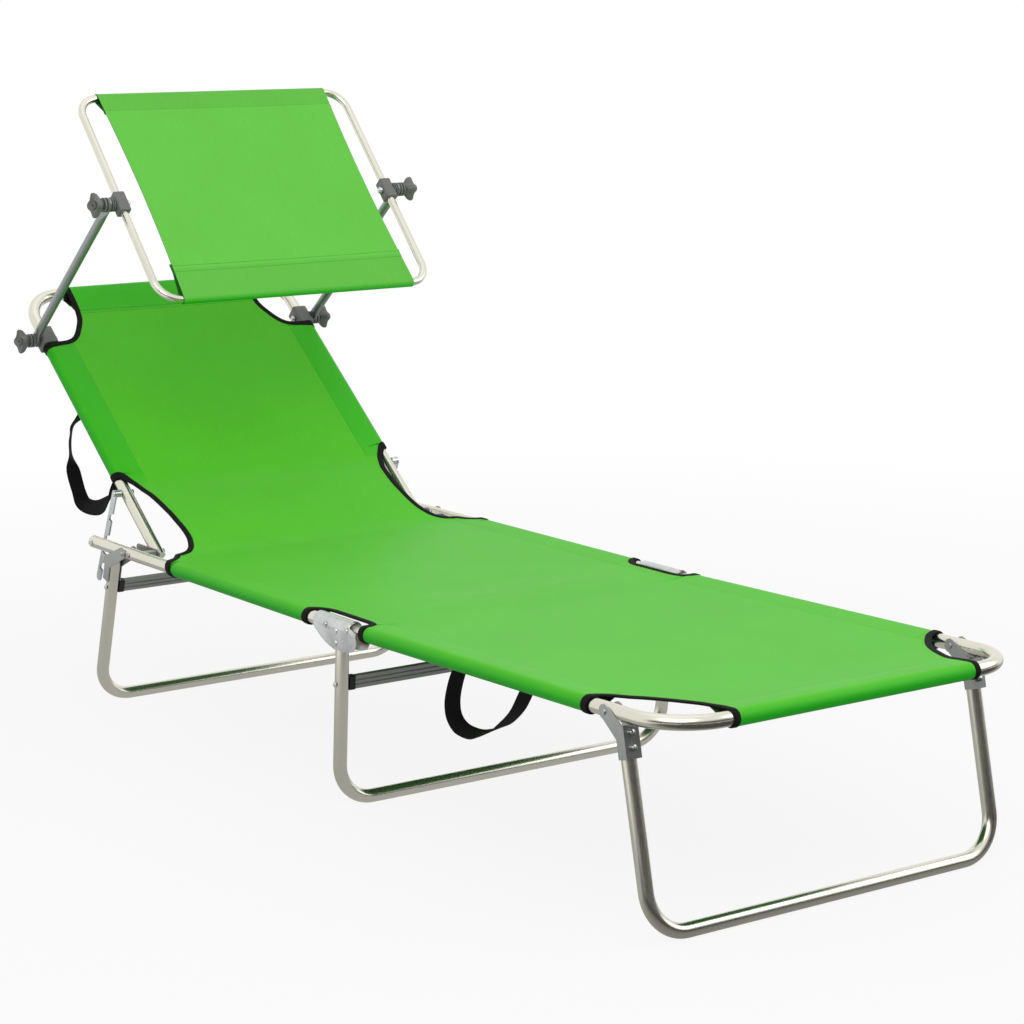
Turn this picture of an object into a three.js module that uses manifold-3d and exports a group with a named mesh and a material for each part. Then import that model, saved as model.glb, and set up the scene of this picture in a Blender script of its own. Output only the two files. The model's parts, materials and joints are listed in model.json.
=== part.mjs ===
import * as THREE from 'three';
import { mergeVertices } from 'three/addons/utils/BufferGeometryUtils.js';
import Module from 'manifold-3d';

const wasm = await Module();
wasm.setup();

// Sizes in millimetres. Left is -X, the foot end is -Y, up is +Z.
// Y is zero halfway between the two pivots of the middle hinge until the last step.

// Main frame
const width = 580;
const tube = 19;
const tubeWall = 1.2;
const railHeight = 258.8;
const seatLength = 705.5;
const hingePitch = 53.3;
const footLength = 685;
const footRise = 12.3;
const backLength = 560;
const backGap = 21.5;
const recline = THREE.MathUtils.degToRad(39);
const backPivotInset = 133.3;
const footBend = 78;
const headBend = 57;
const legBend = 54;

// Clearances and shared small sizes
const fit = 0.3;
const play = 0.1;
const running = 0.5;
const weld = 0.001;
const overrun = 2;
const sheet = 1.5;
const rivet = 6;
const rivetHead = 9;
const rivetRise = 1.6;

// Legs
const frontPivotInset = 117.4;
const frontLean = THREE.MathUtils.degToRad(12.2);
const frontOffset = 22.8;
const rearPivotInset = 114.6;
const rearLean = THREE.MathUtils.degToRad(16);
const rearOffset = 37;
const midLean = THREE.MathUtils.degToRad(3.75);
const bracketLap = 40;
const bracketEar = 9.5;
const bracketArmShare = 0.6;
const bracketBoltDrops = [9, 27];
const boltShank = 4;
const boltHead = 8;
const boltRise = 3.2;

// Spreader bars
const spreaderHeight = 18;
const spreaderDepth = 9;
const spreaderGroove = 1;
const midSpreaderHeight = 178.7;
const rearSpreaderHeight = 197;
const spreaderCapLength = 9;
const spreaderCapLip = 1;
const spreaderPlug = 12;

// Middle hinge bracket
const hingeFront = 30.6;
const hingeRear = 58;
const hingeNose = 50;
const hingeDrop = 30.8;
const legRivetDrops = [4.5, 21.6];

// Rail ends and back pivot
const endCap = 3;
const endPlug = 5;
const plateThick = 2.5;
const plateHeight = 16;
const plateFront = 27.5;
const plateRear = 43.5;
const spacerFront = 24;
const spacerRear = 9;
const spacerHeight = 12;

// Ratchet
const ratchetInset = 11.8;
const ratchetAlong = 123.6;
const ratchetTilt = THREE.MathUtils.degToRad(23.6);
const ratchetLength = 160;
const ratchetWidth = 13;
const ratchetThick = 2.6;
const ratchetSpacer = 12;
const ratchetGap = 9.2;
const notchDrops = [42.6, 81.9, 103.6, 133.5];
const notchDepth = 7;
const notchRise = 5;

// Cloth
const cloth = 1.2;
const hem = 38;
const seatSleeveEnd = 271.8;
const seatWebEnd = 220.8;
const midCornerInset = 25.5;
const hingeCutDepth = 30;
const midSleeveGap = 58.4;
const footSleeveGap = 34;
const footSleeveEnd = 165;
const footCrossInset = 83.5;
const backWebStart = 126;
const backSleeveStart = 156;
const headCrossInset = 72;
const strapWidth = 25;
const strapThick = 1.5;
const strapTop = 8.2;

// Canopy
const clampInset = 98;
const clampGap = 4.5;
const armLength = 360;
const armRest = THREE.MathUtils.degToRad(139.4);
const armTube = 14;
const armFlat = 4;
const armEnd = 18;
const armTaper = 24;
const armSeam = 0.8;
const ringTube = 12;
const ringWall = 1;
const ringLength = 390;
const ringBend = 35;
const ringPivotInset = 206;
const ringTilt = THREE.MathUtils.degToRad(48);
const canopyInset = 34.5;
const canopyDip = 6;
const canopyHem = 50;

// Clamps and knobs
const clampLength = 35;
const clampWall = 3.5;
const lowerCollar = 5;
const upperCollar = 8.3;
const collarRadius = 11;
const collarRib = 1.4;
const collarGroove = 1.6;
const clampBolt = 6;
const domeHead = 12;
const domeRise = 6;
const knobHub = 8;
const knobReach = 19.5;
const knobThick = 12;
const knobWing = 6;
const knobNeck = 13;

// Facets
const tubeSides = 16;
const ringSides = 12;
const boreSides = 8;
const smallSides = 10;
const holeSides = 8;
const ballSteps = 3;
const bendSteps = 5;

const colours = {
  tube: 0xb4b1a2,
  zinc: 0xa9aeac,
  spreader: 0x5f5f5c,
  black: 0x17171a,
  grey: 0x7b7e7b,
  cloth: 0x52b937,
  seat: 0x6cc95a,
  webbing: 0x121212,
};

const finishes = {
  tube: [colours.tube, 0.38, 0.85],
  zinc: [colours.zinc, 0.35, 0.8],
  spreader: [colours.spreader, 0.5, 0.5],
  black: [colours.black, 0.6, 0],
  grey: [colours.grey, 0.55, 0.1],
  cloth: [colours.cloth, 0.85, 0],
  seat: [colours.seat, 0.85, 0],
  webbing: [colours.webbing, 0.9, 0],
};

// Derived places
const radius = tube / 2;
const corner = radius / Math.cos(Math.PI / tubeSides);
const railX = width / 2 - radius;
const backX = railX - tube - backGap;
const seatPivot = hingePitch / 2;
const footPivot = -hingePitch / 2;
const railRear = seatPivot + seatLength;
const backPivot = railRear - backPivotInset;
const rearPivot = railRear - rearPivotInset;
const ratchetY = railRear - ratchetInset;
const footTilt = Math.asin(footRise / footLength);
const channel = corner + play + fit;
const sleeve = radius + fit;
const web = sleeve + cloth;
const armX = backX + radius + clampWall + fit + lowerCollar + fit + armFlat / 2;
const ringX = armX - armFlat / 2 - fit - upperCollar - clampWall - ringTube / 2;
const midCorner = railX - midCornerInset;
const footCross = railX - footCrossInset;
const headCross = backX - headCrossInset;
const clampAlong = backLength - clampInset;
const canopyEdge = ringX - canopyInset;

const V3 = (x, y, z) => new THREE.Vector3(x, y, z);
const V2 = (x, y) => new THREE.Vector2(x, y);
const group = new THREE.Group();

class Route extends THREE.Curve {
  constructor(points, tangents) {
    super();
    this.points = points;
    this.tangents = tangents;
  }

  index(t) {
    return Math.round(t * (this.points.length - 1));
  }

  getPoint(t) {
    return this.points[this.index(t)].clone();
  }

  getPointAt(u) {
    return this.getPoint(u);
  }

  getTangent(t) {
    return this.tangents[this.index(t)].clone();
  }

  getTangentAt(u) {
    return this.getTangent(u);
  }
}

// A route through corner points, each inner one rounded with the bend radius.
function route(corners, bend, steps = bendSteps) {
  const points = [corners[0].clone()];
  const tangents = [corners[1].clone().sub(corners[0]).normalize()];
  for (let i = 1; i < corners.length - 1; i += 1) {
    const a = corners[i].clone().sub(corners[i - 1]).normalize();
    const b = corners[i + 1].clone().sub(corners[i]).normalize();
    const turn = a.angleTo(b);
    const axis = a.clone().cross(b).normalize();
    const start = corners[i].clone().addScaledVector(a, -bend * Math.tan(turn / 2));
    const centre = start.clone().addScaledVector(axis.clone().cross(a), bend);
    for (let k = 0; k <= steps; k += 1) {
      const angle = (turn * k) / steps;
      points.push(start.clone().sub(centre).applyAxisAngle(axis, angle).add(centre));
      tangents.push(a.clone().applyAxisAngle(axis, angle));
    }
  }
  points.push(corners.at(-1).clone());
  tangents.push(tangents.at(-1).clone());
  return new Route(points, tangents);
}

// A polygon whose flats lie at the given radius, the first flat facing the given angle.
function polygon(r, sides, facing = 0) {
  const out = r / Math.cos(Math.PI / sides);
  return Array.from({ length: sides }, (_, k) => {
    const a = facing + ((k + 0.5) * 2 * Math.PI) / sides;
    return V2(out * Math.cos(a), out * Math.sin(a));
  });
}

function outline(points, ...holes) {
  const shape = new THREE.Shape(points);
  shape.holes = holes.map((h) => new THREE.Path(h));
  return shape;
}

function signedVolume(position, index) {
  const a = V3(0, 0, 0);
  const b = V3(0, 0, 0);
  const c = V3(0, 0, 0);
  let sum = 0;
  for (let i = 0; i < index.length; i += 3) {
    a.fromBufferAttribute(position, index[i]);
    b.fromBufferAttribute(position, index[i + 1]);
    c.fromBufferAttribute(position, index[i + 2]);
    sum += a.dot(b.cross(c));
  }
  return sum;
}

// Merge doubles, drop empty faces and turn the faces outwards.
function tidy(geometry) {
  const bare = geometry.clone();
  bare.deleteAttribute('normal');
  bare.deleteAttribute('uv');
  const merged = mergeVertices(bare, weld);
  const all = merged.index.array;
  const index = [];
  for (let i = 0; i < all.length; i += 3) {
    const [a, b, c] = [all[i], all[i + 1], all[i + 2]];
    if (a !== b && b !== c && c !== a) {
      index.push(a, b, c);
    }
  }
  if (signedVolume(merged.attributes.position, index) < 0) {
    for (let i = 0; i < index.length; i += 3) {
      [index[i], index[i + 1]] = [index[i + 1], index[i]];
    }
  }
  merged.setIndex(index);
  return merged;
}

function solid(geometry) {
  const g = tidy(geometry);
  return new wasm.Manifold(new wasm.Mesh({
    numProp: 3,
    vertProperties: new Float32Array(g.attributes.position.array),
    triVerts: new Uint32Array(g.index.array),
  }));
}

function surface(manifold) {
  const mesh = manifold.getMesh();
  const g = new THREE.BufferGeometry();
  g.setAttribute('position', new THREE.BufferAttribute(new Float32Array(mesh.vertProperties), 3));
  g.setIndex(new THREE.BufferAttribute(new Uint32Array(mesh.triVerts), 1));
  return g;
}

const joined = (...list) => list.map(solid).reduce((a, b) => a.add(b));
const cut = (body, ...tools) => surface(tools.map(solid).reduce((a, b) => a.subtract(b), solid(body)));
const fused = (...list) => surface(joined(...list));
const common = (a, b) => surface(solid(a).intersect(solid(b)));

function sweep(shape, path) {
  return new THREE.ExtrudeGeometry(shape, { steps: path.points.length - 1, extrudePath: path });
}

function pipe(path, r, wall, facing = 0, sides = tubeSides) {
  return sweep(outline(polygon(r, sides, facing), polygon(r - wall, boreSides, facing)), path);
}

function slab(points, depth, ...holes) {
  return new THREE.ExtrudeGeometry(outline(points, ...holes), { depth, bevelEnabled: false });
}

// An outline in Y and Z, extruded from one X to another.
function acrossX(points, from, to, ...holes) {
  const m = new THREE.Matrix4().makeBasis(V3(0, 1, 0), V3(0, 0, 1), V3(1, 0, 0));
  return slab(points, to - from, ...holes).applyMatrix4(m).translate(from, 0, 0);
}

// An outline in X and Z, extruded from one Y down to another.
function alongY(points, from, to, ...holes) {
  const m = new THREE.Matrix4().makeBasis(V3(1, 0, 0), V3(0, 0, 1), V3(0, -1, 0));
  return slab(points, from - to, ...holes).applyMatrix4(m).translate(0, from, 0);
}

// An outline in X and Y, extruded between two heights.
function upZ(points, from, to) {
  return slab(points, to - from).translate(0, 0, from);
}

// A turned piece about an axis along X; the profile holds pairs of X and radius.
function turned(profile, y = 0, z = 0, sides = smallSides) {
  const points = profile.map(([x, r]) => V2(r, x));
  return new THREE.LatheGeometry(points, sides).rotateZ(-Math.PI / 2).translate(0, y, z);
}

function rod(r, from, to, y = 0, z = 0, sides = smallSides) {
  return turned([[from, 0], [from, r], [to, r], [to, 0]], y, z, sides);
}

// A hole that clears a shaft whatever way the facets stand.
function bore(r, from, to, y = 0, z = 0, clearance = play) {
  return rod((r + clearance) / Math.cos(Math.PI / holeSides), from, to, y, z, holeSides);
}

// A pin along X with a low head at each end.
function headedPin(r, from, to, head, rise, y = 0, z = 0) {
  const soft = rise / 2;
  return turned([
    [from - rise, 0], [from - rise, head - soft], [from, head], [from, r],
    [to, r], [to, head], [to + rise, head - soft], [to + rise, 0],
  ], y, z);
}

function arc(cx, cy, r, start, end, steps) {
  return Array.from({ length: steps + 1 }, (_, k) => {
    const a = start + ((end - start) * k) / steps;
    return V2(cx + r * Math.cos(a), cy + r * Math.sin(a));
  });
}

function smooth(points, steps) {
  return new THREE.SplineCurve(points).getPoints(steps);
}

const mirrorX = (points) => points.map((p) => V2(-p.x, p.y)).reverse();
const flipX = (geometry) => geometry.clone().applyMatrix4(new THREE.Matrix4().makeScale(-1, 1, 1));

function add(name, geometry, finish, place = null) {
  const g = tidy(place ? geometry.clone().applyMatrix4(place) : geometry);
  const [colour, roughness, metalness] = finishes[finish];
  const material = new THREE.MeshStandardMaterial({ color: colour, roughness, metalness });
  const flat = g.toNonIndexed();
  flat.computeVertexNormals();
  const mesh = new THREE.Mesh(flat, material);
  mesh.name = name;
  group.add(mesh);
  return mesh;
}

// Pieces are drawn for the right side and mirrored for the left.
function addPair(name, geometry, finish, place = null) {
  const placed = place ? geometry.clone().applyMatrix4(place) : geometry;
  add(`${name}_right`, placed, finish);
  add(`${name}_left`, flipX(placed), finish);
}

function frame(y, z, angle) {
  return new THREE.Matrix4().makeTranslation(0, y, z).multiply(new THREE.Matrix4().makeRotationX(angle));
}

const footPlace = frame(footPivot, railHeight, -footTilt);
const backPlace = frame(backPivot, railHeight, recline);
const clampPoint = V3(0, clampAlong, 0).applyMatrix4(backPlace);
const tiltPoint = clampPoint.clone().add(V3(0, armLength * Math.cos(armRest), armLength * Math.sin(armRest)));
const ringPlace = frame(tiltPoint.y, tiltPoint.z, ringTilt);

// Both sides of a tube at the given X, as a cutter for a cross pin.
function crossBores(r, x, y, z, half = corner + overrun) {
  return [bore(r, x - half, x + half, y, z), bore(r, -x - half, -x + half, y, z)];
}

// Rail ends are rounded like a ball about their pivots to turn inside the hinge bracket.
function roundEnd(pivotY, reach, x, z = 0) {
  const away = -Math.sign(reach);
  const ball = arc(0, 0, corner, -Math.PI / 2, 0, ballSteps).map((p) => V2(p.x, pivotY - away * p.y));
  const past = corner + play;
  const profile = [...ball, V2(past, pivotY - away * play), V2(past, pivotY + reach), V2(0, pivotY + reach)];
  return new THREE.LatheGeometry(profile, tubeSides, Math.PI / tubeSides).translate(x, 0, z);
}

// Seat rails
{
  const rear = railRear - endCap;
  const start = seatPivot - corner;
  const path = route([V3(railX, start, railHeight), V3(railX, rear, railHeight)], tube);
  const plain = pipe(path, radius, tubeWall);
  const round = common(plain, roundEnd(seatPivot, rear + overrun - seatPivot, railX, railHeight));
  const holes = [seatPivot, backPivot, rearPivot].map(
    (y) => bore(rivet / 2, railX - tube, railX + tube, y, railHeight),
  );
  holes.push(bore(rivet / 2, railX - tube, railX + tube, ratchetY, railHeight));
  addPair('seat_rail', cut(round, ...holes), 'tube');

  const plugBore = (radius - tubeWall) - fit;
  const plug = new THREE.LatheGeometry([
    V2(0, 0), V2(plugBore, 0), V2(plugBore, endPlug), V2(radius, endPlug),
    V2(radius, endPlug + endCap / 2), V2(radius - endCap / 2, endPlug + endCap), V2(0, endPlug + endCap),
  ], tubeSides).translate(railX, rear - endPlug, railHeight);
  addPair('rail_end_plug', plug, 'grey');
}

// Back pivot bracket: a plate beside the back tube, packed off the rail, with its pivot pin
{
  const inner = backX + radius + running;
  const plate = acrossX([
    V2(-plateFront, -plateHeight / 4), V2(-plateFront + plateHeight / 4, -plateHeight / 2),
    V2(plateRear - plateHeight / 4, -plateHeight / 2), V2(plateRear, -plateHeight / 4),
    V2(plateRear, plateHeight / 4), V2(plateRear - plateHeight / 4, plateHeight / 2),
    V2(-plateFront + plateHeight / 4, plateHeight / 2), V2(-plateFront, plateHeight / 4),
  ], inner, inner + plateThick);
  const half = spacerHeight / 2;
  const block = acrossX([
    V2(-spacerFront, -half), V2(-spacerRear, -half), V2(-spacerRear, half), V2(-spacerFront, half),
  ], inner + plateThick / 2, railX - radius - fit);
  const pin = headedPin(rivet / 2, backX - radius - fit, railX + radius + fit, rivetHead / 2, rivetRise);
  const body = fused(plate, block, pin).translate(0, backPivot, railHeight);
  addPair('back_pivot_bracket', body, 'zinc');
}

// Ratchet pin: it stops short of the ratchet bar and of its pivot's head
const ratchetX = backX + radius + ratchetGap + ratchetThick / 2;
{
  const tip = ratchetX + ratchetThick / 2 + rivetRise + 2 * fit;
  const pin = turned([
    [tip, 0], [tip, rivet / 2], [railX + radius + fit, rivet / 2], [railX + radius + fit, rivetHead / 2],
    [railX + radius + fit + rivetRise / 2, rivetHead / 2],
    [railX + radius + fit + rivetRise, rivetHead / 2 - rivetRise / 2],
    [railX + radius + fit + rivetRise, 0],
  ], ratchetY, railHeight);
  addPair('ratchet_pin', pin, 'zinc');
}

// Cloth with a sleeve round a tube at one or both ends of its span, seen from the end
function sleeveProfile(half, r, lap, bothEnds = true) {
  const inner = r + fit;
  const outer = inner + cloth;
  const around = (c) => polygon(c, tubeSides, Math.PI / 2).slice((tubeSides * 3) / 8)
    .map((p) => V2(p.x + half, p.y));
  const loop = [...around(inner), V2(half, inner), V2(half - lap + 3 * cloth, inner)];
  const right = [V2(half - lap, inner), ...around(outer), V2(half, outer)];
  loop.at(-1).y -= cloth / 4;
  loop.at(-2).y = inner;
  const left = bothEnds ? mirrorX(right) : [V2(0, outer), V2(0, inner)];
  const holes = bothEnds ? [loop, mirrorX(loop)] : [loop];
  return { points: [...left, ...right], holes };
}

function clothAlongY(half, r, lap, from, to) {
  const p = sleeveProfile(half, r, lap);
  return alongY(p.points, from, to, ...p.holes);
}

// Cuts each side of a cloth away outside a curve of X and Y, given for the right side
function sideCutters(curve, reach, low, high) {
  const first = curve[0];
  const last = curve.at(-1);
  const points = [...curve, V2(reach, last.y), V2(reach, first.y)];
  const right = upZ(points, low, high);
  return [right, flipX(right)];
}

// Shares along and across the cut-outs of the cloth
const rearCutShares = [[0, 0], [0.42, 0.27], [0.74, 0.45], [1, 1]];
const midCutShares = [[0, 0], [0.1, 0.42], [0.4, 0.78], [1, 1]];
const footHingeShares = [[0, 0], [0.04, 0.5], [0.25, 0.88], [1, 1]];
const footCutShares = [[0, 0], [0.11, 0.07], [0.31, 0.22], [0.6, 0.44], [0.82, 0.71], [1, 1]];
const headCutShares = [[0, 0], [0.03, 0.37], [0.18, 0.71], [0.36, 0.88], [0.5, 0.96], [0.62, 1], [1, 1]];
const hingeCutShares = [[0, 0], [0.27, 0.37], [0.65, 0.8], [1, 1]];
const bendShares = [
  [0, -0.2], [0.04, 0.28], [0.13, 0.68], [0.26, 0.936], [0.39, 1], [0.55, 1],
  [0.7, 0.912], [0.84, 0.784], [0.91, 0.6], [1, 0.4],
];

const bendEdge = (share) => backX - hingeCutDepth * share;
const curve = (shares, x0, y0, x1, y1) => shares.map(([u, v]) => V2(x0 + (x1 - x0) * u, y0 + (y1 - y0) * v));
const beyond = railX + web + overrun;
const below = -web - overrun;
const above = web + overrun;

// Seat cloth
const seatWebRear = railRear - seatWebEnd;
{
  const front = seatPivot + play;
  const sleeveFront = seatPivot + midSleeveGap;
  const sleeveRear = railRear - seatSleeveEnd;
  const blank = clothAlongY(railX, radius, hem, seatWebRear, front);
  const frontCurve = curve(midCutShares, midCorner, front - overrun, beyond, sleeveFront);
  const rearCurve = curve(rearCutShares, beyond, sleeveRear, bendEdge(bendShares[0][1]), seatWebRear + overrun);
  const body = cut(
    blank,
    ...sideCutters([...frontCurve], beyond, below, above),
    ...sideCutters(rearCurve, beyond, below, above),
  );
  add('seat_cloth', body, 'seat', frame(0, railHeight, 0));
}

// Cloth that crosses the back hinge
const backWebFoot = V3(0, backWebStart, sleeve).applyMatrix4(backPlace);
{
  const start = V3(0, seatWebRear + running, railHeight + sleeve);
  const chord = backWebFoot.clone().sub(start);
  const length = chord.length() - running - cloth;
  const side = bendShares.map(([u, v]) => V2(bendEdge(v), length * u));
  const body = upZ([...side, ...mirrorX(side)], 0, cloth);
  add('bend_cloth', body, 'cloth', frame(start.y, start.z, Math.atan2(chord.z, chord.y)));
}

// Cloth over the middle hinge
{
  const half = seatPivot - play;
  const x = midCorner;
  const body = upZ([V2(-x, -half), V2(x, -half), V2(x, half), V2(-x, half)], sleeve, web);
  add('mid_cloth', body, 'seat', frame(0, railHeight, 0));
}

// Middle hinge brackets with their rivets
const legTop = V3(0, 0, railHeight);
const legAxis = V3(0, Math.sin(midLean), -Math.cos(midLean));
{
  const inner = channel;
  const outer = channel + sheet;
  const over = (r) => arc(railX, railHeight, r, Math.PI, 0, tubeSides / 2);
  const low = railHeight - hingeDrop;
  const section = [
    V2(railX - inner, low), ...over(inner), V2(railX + inner, low),
    V2(railX + outer, low), ...over(outer).reverse(), V2(railX - outer, low),
  ];
  const strip = alongY(section, hingeRear, -hingeNose);
  const noseShares = [[1, 0.22], [0.97, 0.62], [0.78, 0.87], [0.46, 0.98], [0.12, 0.98]];
  const tailShares = [[0.12, 0.98], [0.36, 0.86], [0.6, 0.68], [0.85, 0.4], [1, 0.18]];
  const nose = noseShares.map(([u, v]) => V2(-hingeNose * u, railHeight - hingeDrop * v));
  const tail = tailShares.map(([u, v]) => V2(hingeRear * u, railHeight - hingeDrop * v));
  const top = railHeight + outer + overrun;
  const shape = smooth([...nose, V2(0, low), ...tail], 12);
  const side = acrossX(
    [...shape, V2(hingeRear + overrun, railHeight), V2(hingeRear, top), V2(-hingeFront, top),
      V2(-hingeFront, railHeight + radius / 2), V2(-hingeNose, railHeight)],
    railX - outer - overrun, railX + outer + overrun,
  );
  const shell = common(strip, side);
  const pins = [[seatPivot, railHeight], [footPivot, railHeight]];
  for (const drop of legRivetDrops) {
    pins.push([legTop.y + legAxis.y * drop, legTop.z + legAxis.z * drop]);
  }
  const rivets = pins.map(([y, z]) => headedPin(
    rivet / 2, railX - outer + play, railX + outer - play, rivetHead / 2, rivetRise, y, z,
  ));
  addPair('mid_hinge_bracket', fused(shell, ...rivets), 'zinc');
}

// U-shaped leg: the tube runs from one top end down, across and up to the other.
function legPipe(topY, topZ, axis, bottomZ) {
  const length = (topZ - bottomZ) / -axis.z;
  const bottomY = topY + axis.y * length;
  const path = route([
    V3(-railX, topY, topZ), V3(-railX, bottomY, bottomZ),
    V3(railX, bottomY, bottomZ), V3(railX, topY, topZ),
  ], legBend);
  const lean = Math.atan2(axis.y, -axis.z);
  return { body: pipe(path, radius, tubeWall, -lean), bottomY };
}

// Spreader bar with ridges, its end caps and its screws
function addSpreader(name, y, z, axis) {
  const lean = Math.atan2(axis.y, -axis.z);
  const h = spreaderHeight / 2;
  const d = spreaderDepth / 2;
  const g = spreaderGroove;
  const face = [-h, -h / 3 - g, -h / 3, -h / 3 + g, h / 3 - g, h / 3, h / 3 + g, h];
  const depthAt = (v) => (Math.abs(Math.abs(v) - h / 3) < g / 2 ? d - g : d);
  const rightFace = face.map((v) => V2(depthAt(v), v));
  const leftFace = face.map((v) => V2(-depthAt(v), v)).reverse();
  const wall = tubeWall + g;
  const hole = [V2(-d + wall, -h + wall), V2(d - wall, -h + wall), V2(d - wall, h - wall), V2(-d + wall, h - wall)];
  const capOuter = railX - radius - fit;
  const capInner = capOuter - spreaderCapLength;
  const end = capInner - fit;
  const place = frame(y, z, lean);
  add(`${name}_spreader`, acrossX([...rightFace, ...leftFace], -end, end, hole), 'spreader', place);

  const lip = spreaderCapLip;
  const block = acrossX([
    V2(-d - lip, -h), V2(-d, -h - lip), V2(d, -h - lip), V2(d + lip, -h),
    V2(d + lip, h), V2(d, h + lip), V2(-d, h + lip), V2(-d - lip, h),
  ], capInner, capOuter);
  const p = d - wall - fit;
  const q = h - wall - fit;
  const plug = acrossX([V2(-p, -q), V2(p, -q), V2(p, q), V2(-p, q)], capInner - spreaderPlug, capInner + lip);
  const shankEnd = capInner;
  const screwBore = bore(boltShank / 2, shankEnd - fit, capOuter + overrun);
  addPair(`${name}_spreader_cap`, cut(fused(block, plug), screwBore), 'black', place);

  const seat = railX + radius + fit;
  const screw = turned([
    [shankEnd, 0], [shankEnd, boltShank / 2], [seat, boltShank / 2], [seat, boltHead / 2],
    [seat + boltRise / 2, boltHead / 2], [seat + boltRise * 0.85, boltHead / 4], [seat + boltRise * 0.85, 0],
  ]);
  addPair(`${name}_spreader_screw`, screw, 'zinc', place);
  return crossBores(boltShank / 2, railX, y, z);
}

function alongAxis(y, z, axis, height) {
  const s = (z - height) / -axis.z;
  return [y + axis.y * s, height];
}

// Middle leg, fixed in the hinge brackets
{
  const leg = legPipe(legTop.y, legTop.z, legAxis, radius);
  const [y, z] = alongAxis(legTop.y, legTop.z, legAxis, midSpreaderHeight);
  const screws = addSpreader('mid', y, z, legAxis);
  const rivets = legRivetDrops.flatMap((drop) => crossBores(
    rivet / 2, railX, legTop.y + legAxis.y * drop, legTop.z + legAxis.z * drop,
  ));
  add('mid_leg', cut(leg.body, ...screws, ...rivets), 'tube');
}

// Folding leg: its line passes its pivot at an offset, outward of the frame.
// The bracket straddles the rail at the pivot and holds the leg's top from three sides.
// The front one is bolted, the rear one is riveted and carries a spreader.
function addFoldingLeg(name, pivotY, pivotZ, outward, lean, offset, bolted, barHeight = null) {
  const axis = V3(0, outward * Math.sin(lean), -Math.cos(lean));
  const out = V3(0, outward * Math.cos(lean), Math.sin(lean));
  const start = (radius + fit + offset * Math.sin(lean) + radius * Math.sin(lean)) / Math.cos(lean) + running;
  const at = (d, s) => V2(pivotY + out.y * d + axis.y * s, pivotZ + out.z * d + axis.z * s);
  const top = at(offset, start);
  const leg = legPipe(top.x, top.y, axis, radius);
  const cuts = [];
  if (barHeight !== null) {
    const [y, z] = alongAxis(top.x, top.y, axis, barHeight);
    cuts.push(...addSpreader(name, y, z, axis));
  }

  const inner = radius + fit;
  const cheek = inner + sheet;
  const far = offset + inner + sheet;
  const near = offset - radius / 2;
  const end = start + bracketLap;
  const ear = arc(0, 0, bracketEar, Math.PI * 0.6, Math.PI * 1.75, 6).map((p) => at(p.x, p.y));
  const armFoot = end - bracketLap * bracketArmShare;
  const shape = [
    at(far, start), at(offset + radius, start), ...ear.reverse(), at(near, armFoot), at(near, end), at(far, end),
  ];
  const plates = acrossX(shape, railX - cheek, railX + cheek);
  const room = acrossX([
    at(-2 * tube, -2 * tube), at(offset + inner, -2 * tube), at(offset + inner, end + overrun),
    at(-2 * tube, end + overrun),
  ], railX - inner, railX + inner);
  const pin = headedPin(rivet / 2, railX - cheek + play, railX + cheek - play, rivetHead / 2, rivetRise, pivotY, pivotZ);
  const shell = cut(plates, room);

  const boltPlace = (drop) => {
    const p = at(offset, start + drop);
    const turn = new THREE.Matrix4().makeBasis(out, V3(-1, 0, 0), out.clone().cross(V3(-1, 0, 0)));
    return new THREE.Matrix4().makeTranslation(railX, p.x, p.y).multiply(turn);
  };
  const bolt = turned([
    [0, 0], [0, boltShank / 2], [far - offset + fit, boltShank / 2], [far - offset + fit, boltHead / 2],
    [far - offset + boltRise, boltHead / 2], [far - offset + boltRise * 1.4, boltHead / 4],
    [far - offset + boltRise * 1.4, 0],
  ]);
  const boltBore = bore(boltShank / 2, 0, far + overrun);
  const bores = bracketBoltDrops.map((drop) => boltBore.clone().applyMatrix4(boltPlace(drop)));
  const bolts = bracketBoltDrops.map((drop) => bolt.clone().applyMatrix4(boltPlace(drop)));
  if (bolted) {
    addPair(`${name}_bolt_upper`, bolts[0], 'zinc');
    addPair(`${name}_bolt_lower`, bolts[1], 'zinc');
    addPair(`${name}_bracket`, cut(fused(shell, pin), ...bores), 'zinc');
  } else {
    addPair(`${name}_bracket`, fused(shell, pin, ...bolts), 'zinc');
  }
  add(`${name}_leg`, cut(leg.body, ...cuts, ...bores, ...bores.map(flipX)), 'tube');
}

const frontPivot = V3(0, -(footLength - frontPivotInset), 0).applyMatrix4(footPlace);
addFoldingLeg('front', frontPivot.y, frontPivot.z, -1, frontLean, frontOffset, true);
addFoldingLeg('rear', rearPivot, railHeight, 1, rearLean, rearOffset, false, rearSpreaderHeight);

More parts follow.
